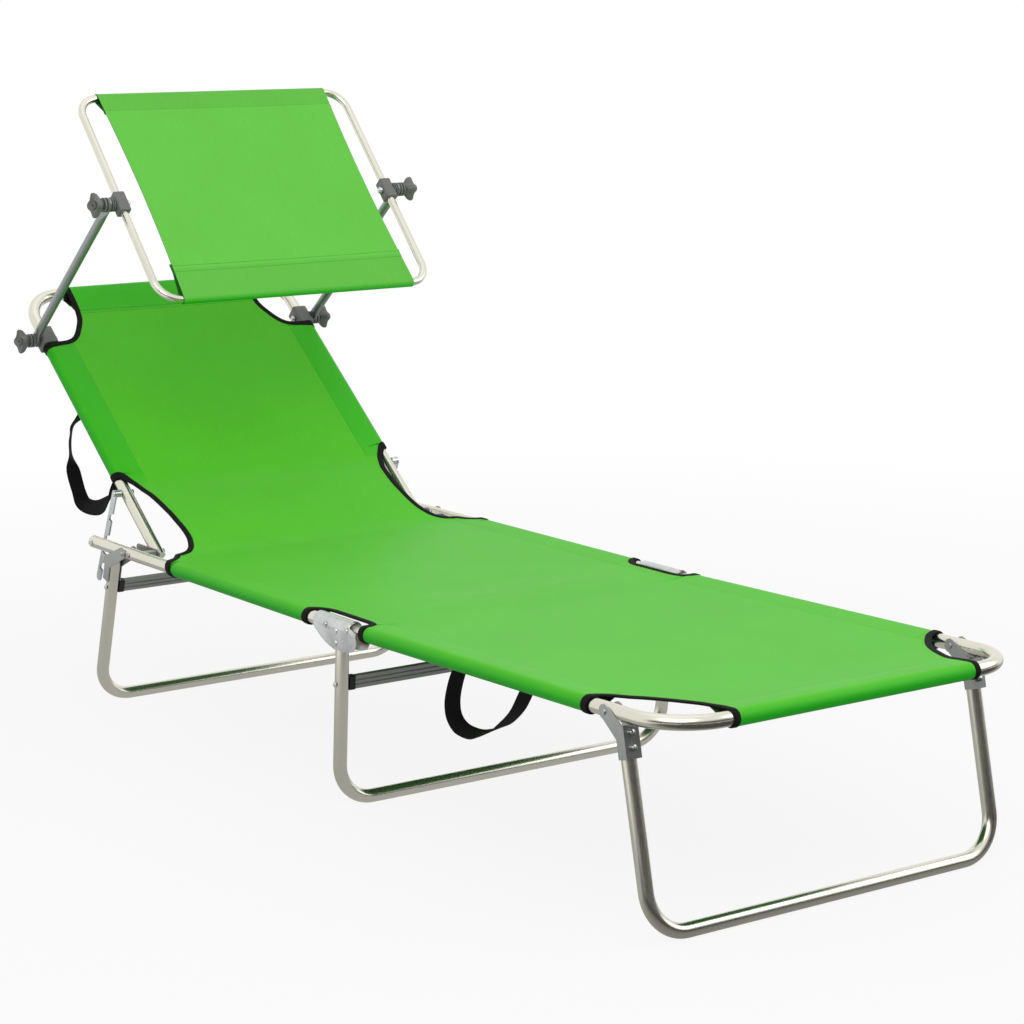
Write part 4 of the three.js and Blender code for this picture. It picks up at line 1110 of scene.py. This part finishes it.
class LOUNGER_OT_binding(Operator):
    """Sew black tape over the cut-outs of the bed cloth"""

    bl_idname = "lounger.binding"
    bl_label = "Binding"

    def execute(self, context):
        sizes = context.scene.lounger_cloth
        width, thick = sizes.tape_width, sizes.tape_thick
        upper, lower = upper_cloth(sizes)[0], lower_cloth(sizes)[0]
        middle, length = middle_cloth(sizes)
        hinge_end, head_start = BACK_START + HINGE_CUT_END * MM, BACK_START + HEAD_CUT_START * MM
        runs = [
            ("middle_binding_seat", upper, 0, MID_CUT_END * MM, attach, "seat_frame"),
            ("hinge_binding", upper, HINGE_CUT_START * MM, hinge_end, bend, None),
            ("head_binding", upper, head_start, HEAD_END + TAPE_END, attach, "back_frame"),
            ("middle_binding", middle, 0, length, fold_middle, None),
            ("middle_binding_foot", lower, 0, FOOT_MID_CUT_END * MM, fold_foot, None),
            ("foot_binding", lower, FOOT_CUT_START * MM, FOOT_LENGTH + TAPE_END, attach, "foot_section"),
        ]
        for name, cloth, start, end, carry, body in runs:
            path = edge_path(cloth, start, end, width / 2 - TAPE_LIP)
            for side, sign in SIDES.items():
                piece = binding(f"{name}_{side}", cloth, path, sign, width, thick)
                give(piece, "tape")
                carry(piece, body) if body else carry(piece)
        return {"FINISHED"}


# Canopy cloth: its half-width, how far its free sides draw in, its sag, hems, rows and columns

CANOPY_HALF = 206 * MM
CANOPY_DRAW = 5.5 * MM
CANOPY_SAG = 3 * MM
CANOPY_FIXED = 70 * MM
CANOPY_FRONT_HEM = {"reach": 44 * MM, "gap": 2.6 * MM, "tail": 14 * MM}
CANOPY_REAR_HEM = {"reach": 28 * MM, "gap": 2.2 * MM, "tail": 4 * MM}
CANOPY_ROWS = 52
CANOPY_COLUMNS = (9, 9, 8)


class LOUNGER_OT_canopy_cloth(Operator):
    """Make the canopy cloth, sewn round the front and rear tubes of the ring"""

    bl_idname = "lounger.canopy_cloth"
    bl_label = "Canopy Cloth"

    def execute(self, context):
        length = RING_REAR - RING_FRONT
        sleeve = RING_RADIUS + SLEEVE_GAP + CLOTH_THICK / 2
        front_hem, rear_hem = (sleeve_pieces(sleeve, **hem) for hem in (CANOPY_FRONT_HEM, CANOPY_REAR_HEM))
        track = Track([*reversed(turned_back(front_hem)), (length, 0), *turned_back(rear_hem)])
        start = sum(part for part, turn in front_hem)
        along, up = slope(RING_TILT)
        track.put(start, PLACES["canopy_tilt"] + along * RING_FRONT + up * sleeve, RING_TILT)

        def bow(t):
            return math.sin(math.pi * clamped((t - start) / length))

        def edge(t):
            return CANOPY_HALF - CANOPY_DRAW * bow(t)

        def sag(s, t):
            return CANOPY_SAG * bow(t) * (1 - (s / CANOPY_HALF) ** 2)

        def seams(s, t):
            return (t - start - length, s), (start - t, s)

        cloth = CanopyCloth(track, edge, sleeve, edge, sag)
        rows = [start - t for t in reversed(sleeve_rows(0, front_hem))]
        rows += spread(start, start + length, CANOPY_ROWS) + sleeve_rows(start + length, rear_hem)
        piece, area = cloth_mesh("canopy_sheet", cloth, rows, CANOPY_COLUMNS, CANOPY_FIXED, seams)
        give(piece, "canopy")
        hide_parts("canopy_cloth")
        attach(piece, "canopy")
        return {"FINISHED"}


# Straps: their webbing and their place beside the rail

STRAP_WIDTH = 25 * MM
STRAP_THICK = 1.5 * MM
STRAP_INSET = 13 * MM
STRAP_STEPS = 8
# In millimetres: the drop below the rail's centre at which the loops start, and the middle of the upper one.
STRAP_DROP = 8.2
# Each row: length along the frame, drop below it in millimetres, and the direction of the tape's width as
# across, along and up.
FOOT_LOOP = [
    (225, 0, 1, 0, 0), (212, 22, 1, 0, 0), (203, 45, 1, 0, 0), (201, 62, 1, 0, 0), (206, 76, 1, 0, 0.1),
    (222, 86.5, 0.95, 0, 0.3), (249, 88.5, 0.93, 0, 0.37), (270, 83.5, 0.93, 0, 0.3),
    (300, 71.6, 0.95, 0, 0.15), (320, 60, 1, 0, 0), (346, 38.4, 1, 0, 0), (366, 11, 1, 0, 0),
    (374, 0, 1, 0, 0),
]
HEAD_LOOP = [
    (318, 0, 1, 0, 0), (324, 20, 1, 0, 0), (332, 44, 0.95, 0.3, -0.2), (342, 74, 0.58, 0.63, -0.51),
    (337, 99, 0.58, 0.63, -0.51), (320, 120, 0.62, 0.6, -0.5), (297, 135, 1, 0, 0), (266, 147, 1, 0, 0),
    (240, 149, 0.7, 0.4, 0.55), (204, 118, 0.1, 0.63, 0.77), (184, 76, 0.5, 0.5, 0.5), (178, 36, 1, 0, 0),
    (176, 0, 1, 0, 0),
]


def strap(name, loop, way, joint, tilt, half):
    """Strap that hangs from the left rail in a loop, and the point its lengths count from."""
    along, up = slope(tilt)
    base = PLACES[joint] - ACROSS * (half - TUBE_RADIUS - STRAP_INSET) - up * STRAP_DROP * MM
    places = [base + along * way * run * MM - up * drop * MM for run, drop, *_ in loop]
    line = spline_points(places, STRAP_STEPS)
    turned = spline_points([ACROSS * a + along * b + up * c for _, _, a, b, c in loop], STRAP_STEPS)
    stations = []
    for i, point in enumerate(line):
        ahead = heading(line, i)
        side = (turned[i] - ahead * turned[i].dot(ahead)).normalized()
        stations.append((point, side.cross(ahead).normalized(), side))
    piece = tape(f"{name}_strap_webbing", stations, STRAP_WIDTH, STRAP_THICK, around=20, power=0.35)
    give(piece, "webbing")
    run_along(line)[-1]
    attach(piece, BODY_OF[f"{name}_strap"])
    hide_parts(f"{name}_strap")
    return piece, base


class LOUNGER_OT_straps(Operator):
    """Make the two carrying straps that hang from the left edge"""

    bl_idname = "lounger.straps"
    bl_label = "Carrying Straps"

    def execute(self, context):
        strap("foot", FOOT_LOOP, -1, "foot_fold", FOOT_TILT, RAIL_X)
        piece, base = strap("head", HEAD_LOOP, 1, "back_recline", RECLINE, BACK_X)
        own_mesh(piece)
        return {"FINISHED"}


# Tubes: the radii of their bends, and each leg's lean in degrees and the way its foot stands from its top

LEG_BEND = 54 * MM
FOOT_BEND = 78 * MM
BACK_BEND = 57 * MM
RING_BEND = 35 * MM
LEGS = (("front_leg", 12.2, -1), ("mid_leg", 3.75, 1), ("rear_leg", 16, 1))


def u_corners(half, start, end):
    """Corners of a U-shaped tube from its two ends to its cross part, given in the middle plane."""
    return [ACROSS * x + place for x, place in ((-half, start), (-half, end), (half, end), (half, start))]


def leg_corners(node, lean, way):
    low, high = box_of(node)
    lean = math.radians(lean)
    near, far = (high.y, low.y) if way < 0 else (low.y, high.y)
    top = Vector((0, near + way * TUBE_RADIUS * math.cos(lean), high.z - TUBE_RADIUS * math.sin(lean)))
    foot = Vector((0, far - way * TUBE_RADIUS, TUBE_RADIUS))
    return u_corners(RAIL_X, top, foot)


def frame_corners(joint, tilt, half, start, end):
    return u_corners(half, *(PLACES[joint] + slope(tilt)[0] * run for run in (start, end)))


class LOUNGER_OT_tubes(Operator):
    """Bend the frame tubes, legs and canopy ring, with a satin finish"""

    bl_idname = "lounger.tubes"
    bl_label = "Tubes"

    def execute(self, context):
        no_balls = (False, False)
        routes = {}
        for node, lean, way in LEGS:
            routes[node] = (leg_corners(node, lean, way), LEG_BEND, TUBE_RADIUS, no_balls)
        foot = frame_corners("foot_fold", FOOT_TILT, RAIL_X, TUBE_RADIUS, -FOOT_LENGTH)
        routes["foot_frame"] = (foot, FOOT_BEND, TUBE_RADIUS, (True, True))
        back = frame_corners("back_recline", RECLINE, BACK_X, -TUBE_RADIUS, BACK_LENGTH)
        routes["back_frame"] = (back, BACK_BEND, TUBE_RADIUS, no_balls)
        ring = frame_corners("canopy_tilt", RING_TILT, RING_X, RING_REAR, RING_FRONT)
        middle = (ring[0] + ring[-1]) / 2
        routes["canopy_ring"] = ([middle, *ring, middle], RING_BEND, RING_RADIUS, no_balls)
        for node in pair("seat_rail"):
            low, high = box_of(node)
            ends = [Vector(((low.x + high.x) / 2, y, PLACES["mid_fold"].z)) for y in (low.y, high.y)]
            routes[node] = (ends, 0, TUBE_RADIUS, (True, False))
        for node, (corners, bend_radius, radius, balls) in routes.items():
            plane = ACROSS
            if len(corners) > 2:
                plane = (corners[1] - corners[0]).cross(corners[2] - corners[1]).normalized()
            piece = round_tube(node + "_tube", bent_path(corners, bend_radius), radius, plane, balls)
            stand_in(piece, "tube", node)
        for node in pair("arm"):
            dress(node, "arm")
        return {"FINISHED"}


# Brackets, and the cover of the middle hinge with its turn in degrees

COVER_RADIUS = 12.6 * MM
COVER_THICK = 1.2 * MM
COVER_LEAN = 12
COVER_HALF_TURN = 82
COVER_FRONT_INSET = 20 * MM
COVER_REAR_INSET = 1 * MM
COVER_FACES = (24, 8)
STEEL_BRACKETS = ("back_pivot_bracket", "front_bracket", "rear_bracket")
ZINC_PARTS = (
    "ratchet_pin", "mid_hinge_bracket", "mid_spreader_screw", "front_bolt_upper", "front_bolt_lower",
    "rear_spreader_screw", "ratchet_pivot", "ratchet_bar", "lower_clamp_bolt", "upper_clamp_bolt",
)


def hinge_cover(name, sign, start, end):
    """Top of the hinge plate, rolled over both tubes from outside to inside."""
    bm = grid(*COVER_FACES)
    for v in bm.verts:
        turn = math.radians(COVER_LEAN + COVER_HALF_TURN * v.co.x)
        y = start + (end - start) * (v.co.y + 1) / 2
        reach = Vector((-sign * math.sin(turn), 0, math.cos(turn))) * COVER_RADIUS
        v.co = Vector((sign * RAIL_X, y, PLACES["mid_fold"].z)) + reach
    bm.normal_update()
    if bm.faces[:][0].normal.z < 0:
        bmesh.ops.reverse_faces(bm, faces=bm.faces)
    bmesh.ops.solidify(bm, geom=bm.faces[:], thickness=COVER_THICK)
    return finished(name, bm, METAL_CREASE)


class LOUNGER_OT_brackets(Operator):
    """Finish the pressed brackets, rivets, bolts and ratchet bars"""

    bl_idname = "lounger.brackets"
    bl_label = "Brackets"

    def execute(self, context):
        for stems, finish in ((STEEL_BRACKETS, "steel"), (ZINC_PARTS, "zinc")):
            for stem in stems:
                for node in pair(stem):
                    dress(node, finish)
        for side, sign in SIDES.items():
            node = f"mid_hinge_bracket_{side}"
            low, high = box_of(node)
            piece = hinge_cover(node + "_cover", sign, low.y + COVER_FRONT_INSET, high.y - COVER_REAR_INSET)
            give(piece, "zinc")
            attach(piece, BODY_OF[node])
        return {"FINISHED"}


class LOUNGER_OT_spreaders(Operator):
    """Finish the oval bars between the legs and their end caps"""

    bl_idname = "lounger.spreaders"
    bl_label = "Spreaders"

    def execute(self, context):
        for stem in ("mid_spreader", "rear_spreader"):
            dress(stem, "spreader")
            for node in pair(stem + "_cap"):
                dress(node, "black")
        return {"FINISHED"}


# Clamps and knobs: profiles in millimetres outwards from the arm, as distance, radius and lobe share

BOLT_RADIUS = 3.2
NECK_RADIUS = 6.2
RIB_RADIUS = 11
KNOB_LOBES = 4
KNOB_PHASE = 0.12
KNOB_REACH = 19.3
KNOB_RIBS = ((0.1, 2.9), (5.3, 8.1))
KNOB_STAR = [
    (10.6, NECK_RADIUS, 0), (10.6, 8.4, 0), (13.0, 9.5, 0.25), (17.0, 12.2, 0.7), (20.3, 13.4, 0.95),
    (23.6, 13.6, 1), (24.8, 12.6, 0.95), (24.8, 10.8, 0.9), (22.0, 8.8, 0.5), (20.6, 6.2, 0), (23.6, 5.8, 0),
    (24.6, 5.0, 0), (24.8, 3.4, 0), (19, BOLT_RADIUS, 0),
]
CLAMP_WALL = 3.5 * MM
CLAMP_GAP = 0.15 * MM
CLAMP_LENGTH = 35 * MM
# Each clamp: its tube's slope, radius and place across, and the ribs of its collar from the block outwards.
CLAMPS = {
    "lower": (RECLINE, TUBE_RADIUS, BACK_X, ((0, 0.6), (2.9, 5.1))),
    "upper": (RING_TILT, RING_RADIUS, RING_X, ((0, 1.4), (3.4, 5.0), (6.6, 8.1))),
}


def ribbed(ribs):
    """Profile of a collar, from the bolt outwards, whose ribs start and stop at those distances."""
    rows = [(ribs[0][0], BOLT_RADIUS, 0)]
    for start, stop in ribs:
        corners = (start, NECK_RADIUS), (start, RIB_RADIUS), (stop, RIB_RADIUS), (stop, NECK_RADIUS)
        rows += [(*corner, 0) for corner in corners]
    return rows


class LOUNGER_OT_grips(Operator):
    """Make the clamps with their ribbed collars and the star knobs, and finish the rail plugs"""

    bl_idname = "lounger.grips"
    bl_label = "Clamps and Knobs"

    def execute(self, context):
        for stem, (tilt, radius, across, ribs) in CLAMPS.items():
            for side, sign in SIDES.items():
                knob, clamp = f"{stem}_knob_{side}", f"{stem}_clamp_{side}"
                low, high = box_of(knob)
                middle = (low + high) / 2
                root = Vector((low.x if sign > 0 else high.x, middle.y, middle.z))
                star = ribbed(KNOB_RIBS) + KNOB_STAR
                piece = turned_mesh(knob + "_star", star, root, sign, KNOB_LOBES, KNOB_PHASE, KNOB_REACH)
                stand_in(piece, "grip", knob)
                centre = Vector((sign * across, middle.y, middle.z))
                half = radius + CLAMP_WALL
                axis = slope(tilt)[0]
                block = bored_block(clamp + "_block", centre, axis, half, radius + CLAMP_GAP, CLAMP_LENGTH)
                collar = ribbed(ribs) + [(ribs[-1][1], BOLT_RADIUS, 0)]
                ring = turned_mesh(clamp + "_collar", collar, centre + ACROSS * sign * half, sign)
                for piece in (block, ring):
                    stand_in(piece, "grip", clamp)
        for node in pair("rail_end_plug"):
            dress(node, "tube", soften=0.5 * MM)
        return {"FINISHED"}


# Stage

WHITE = (1, 1, 1, 1)
WORLD_STRENGTH = 0.7
FLOOR_COLOUR = (0.65, 0.65, 0.65, 1)
FLOOR_RADIUS = 30
# Distances between which the floor turns white, and the share of white that it has near the object.
FLOOR_FADE = (1.2, 2.8)
FLOOR_WHITE = 0.88
# The camera: where it looks, its distance, angles and lens, as solved from the photo.
VIEW_TARGET = Vector((0, -0.1617, 0.3846))
VIEW_DISTANCE = 3.88082
VIEW_AZIMUTH = math.radians(-35.44)
VIEW_ELEVATION = math.radians(10.71)
VIEW_ROLL = math.radians(-0.21)
VIEW_LENS = 97.59
VIEW_SENSOR = 36
VIEW_CLIP = 100
# Each lamp: its place, size and power.
LAMP_TARGET = Vector((0, 0, 0.35))
LAMPS = {
    "key": ((-2.6, -2.6, 2.9), 3.6, 60.0),
    "fill": ((3.0, -2.2, 2.0), 3.0, 42.0),
    "top": ((0.3, 0.6, 4.2), 3.0, 6.0),
}
# The floor card: its centre and half sizes, and the stretches along Y and X over which its tone changes.
CARD_CENTRE = Vector((0.3, -0.2, 0.4 * MM))
CARD_HALF = Vector((1.7, 2.4, 0))
CARD_FRONT = (-0.95, -0.75)
CARD_LEFT = (-0.8, -1.05)
# The wall card: its distance, height, turns in degrees, and the heights between which it gets paler.
WALL_DISTANCE = 4.6
WALL_HEIGHT = 2.2
WALL_MIDDLE = -5
WALL_HALF_TURN = 80
WALL_FADE = (1.2, 2.2)
UNSEEN_BY = ("camera", "diffuse", "shadow", "transmission", "volume_scatter")


def seen_directly(tree):
    """1 for camera, glossy and transmission rays."""
    path = add(tree, "LightPath").outputs
    mirrored = maths(tree, "MAXIMUM", path["Is Glossy Ray"], path["Is Transmission Ray"])
    return maths(tree, "MAXIMUM", path["Is Camera Ray"], mirrored)


def mix_surface(tree, output, share, plain, seen):
    mix = add(tree, "MixShader", i0=share, i1=plain.outputs[0], i2=seen.outputs[0])
    wire(tree, tree.nodes[output], Surface=mix.outputs[0])


def white_world(scene):
    world = bpy.data.worlds.new("studio")
    world.use_nodes = True
    tree = world.node_tree
    plain = wire(tree, tree.nodes["Background"], Color=WHITE, Strength=WORLD_STRENGTH)
    mix_surface(tree, "World Output", seen_directly(tree), plain, add(tree, "Background", Color=WHITE))
    scene.world = world


def pale_floor():
    """Floor that keeps the object's shadow, and gets white away from the object."""
    bm = bmesh.new()
    bmesh.ops.create_circle(bm, cap_ends=True, segments=96, radius=FLOOR_RADIUS)
    floor = finished("floor", bm, METAL_CREASE)
    material, tree, shader = new_material("pale_floor")
    wire(tree, shader, Base_Color=FLOOR_COLOUR, Roughness=1.0, Specular_IOR_Level=0.0)
    far = add(tree, "VectorMath", i0=add(tree, "TexCoord").outputs["Object"])
    far.operation = "LENGTH"
    white = ramp(tree, far.outputs["Value"], *FLOOR_FADE, FLOOR_WHITE, 1.0)
    share = maths(tree, "MULTIPLY", seen_directly(tree), white)
    mix_surface(tree, "Material Output", share, shader, add(tree, "Emission", Strength=1.0))
    floor.data.materials.append(material)


def floor_tone(tree, x, y, z):
    """Dark in front of the front leg and paler behind it, most of all on the left."""
    behind = ramp(tree, y, *CARD_FRONT)
    left = ramp(tree, x, *CARD_LEFT, 0.0, 0.6)
    return maths(tree, "ADD", ramp(tree, y, *CARD_FRONT, 0.08, 0.48), maths(tree, "MULTIPLY", behind, left))


def wall_tone(tree, x, y, z):
    """Dark low down and paler above."""
    return ramp(tree, z, *WALL_FADE, 0.06, 0.6)


def flag(name, bm, tone_of):
    """Card that only reflections see, as they see a studio flag."""
    card = finished(name, bm, METAL_CREASE)
    material, tree, shader = new_material(name)
    tree.nodes.remove(shader)
    places = add(tree, "SeparateXYZ", Vector=add(tree, "TexCoord").outputs["Object"]).outputs
    glow = add(tree, "Emission", Strength=tone_of(tree, *places))
    wire(tree, tree.nodes["Material Output"], Surface=glow.outputs[0])
    card.data.materials.append(material)
    for ray in UNSEEN_BY:
        setattr(card, "visible_" + ray, False)


def dark_flags():
    """One card on the floor, and one that stands round the front."""
    low = grid(1, 1)
    for v in low.verts:
        v.co = CARD_CENTRE + v.co * CARD_HALF
    flag("floor_flag", low, floor_tone)
    wall = grid(32, 4)
    for v in wall.verts:
        angle = math.radians(WALL_MIDDLE + WALL_HALF_TURN * v.co.x)
        level = WALL_HEIGHT * (v.co.y + 1) / 2
        v.co = Vector((WALL_DISTANCE * math.sin(angle), -WALL_DISTANCE * math.cos(angle), level))
    flag("wall_flag", wall, wall_tone)


def lamps(scene):
    for name, (place, size, power) in LAMPS.items():
        lamp = bpy.data.lights.new(name, "AREA")
        lamp.size = size
        lamp.energy = power
        piece = bpy.data.objects.new(name, lamp)
        scene.collection.objects.link(piece)
        toward = (LAMP_TARGET - Vector(place)).to_track_quat("-Z", "Y").to_matrix().to_4x4()
        piece.matrix_world = Matrix.Translation(place) @ toward


def camera(scene):
    """Camera at the photo's angle."""
    level = math.cos(VIEW_ELEVATION)
    back = Vector((math.sin(VIEW_AZIMUTH) * level, -math.cos(VIEW_AZIMUTH) * level, math.sin(VIEW_ELEVATION)))
    right = Vector((0, 0, 1)).cross(back).normalized()
    up = back.cross(right)
    c, s = math.cos(VIEW_ROLL), math.sin(VIEW_ROLL)
    axes = Matrix((c * right + s * up, -s * right + c * up, back)).transposed()
    piece = bpy.data.objects.new("camera", bpy.data.cameras.new("camera"))
    scene.collection.objects.link(piece)
    piece.data.sensor_width = VIEW_SENSOR
    piece.data.lens = VIEW_LENS
    piece.data.clip_end = VIEW_CLIP
    piece.matrix_world = Matrix.Translation(VIEW_TARGET + back * VIEW_DISTANCE) @ axes.to_4x4()
    scene.camera = piece


class LOUNGER_OT_stage(Operator):
    """Set up the floor, the white surroundings, the lamps and the camera"""

    bl_idname = "lounger.stage"
    bl_label = "Stage"

    def execute(self, context):
        white_world(context.scene)
        pale_floor()
        dark_flags()
        lamps(context.scene)
        camera(context.scene)
        context.scene.view_settings.view_transform = "Standard"
        return {"FINISHED"}


# Add-on


class LOUNGER_PT_sidebar(Panel):
    """Shows the lounger's sizes and colours, and a button for each step that makes its pieces"""

    bl_label = "Sun Lounger"
    bl_idname = "LOUNGER_PT_sidebar"
    bl_space_type = "VIEW_3D"
    bl_region_type = "UI"
    bl_category = "Lounger"

    def draw(self, context):
        layout = self.layout
        for settings in (context.scene.lounger_cloth, context.scene.lounger_colours):
            column = layout.column()
            for name in settings.bl_rna.properties.keys():
                if name not in ("rna_type", "name"):
                    column.prop(settings, name)
        for operator in OPERATORS:
            layout.operator(operator.bl_idname)


OPERATORS = (
    LOUNGER_OT_stage, LOUNGER_OT_tubes, LOUNGER_OT_brackets, LOUNGER_OT_spreaders, LOUNGER_OT_grips,
    LOUNGER_OT_bed_cloth, LOUNGER_OT_binding, LOUNGER_OT_canopy_cloth, LOUNGER_OT_straps,
)
CLASSES = (LoungerCloth, LoungerColours, *OPERATORS, LOUNGER_PT_sidebar)


def register():
    for item in CLASSES:
        bpy.utils.register_class(item)
    bpy.types.Scene.lounger_cloth = PointerProperty(type=LoungerCloth)
    bpy.types.Scene.lounger_colours = PointerProperty(type=LoungerColours)


def unregister():
    del bpy.types.Scene.lounger_colours
    del bpy.types.Scene.lounger_cloth
    for item in reversed(CLASSES):
        bpy.utils.unregister_class(item)


def main():
    register()
    for operator in OPERATORS:
        group, name = operator.bl_idname.split(".")
        getattr(getattr(bpy.ops, group), name)()


if __name__ == "__main__":
    main()
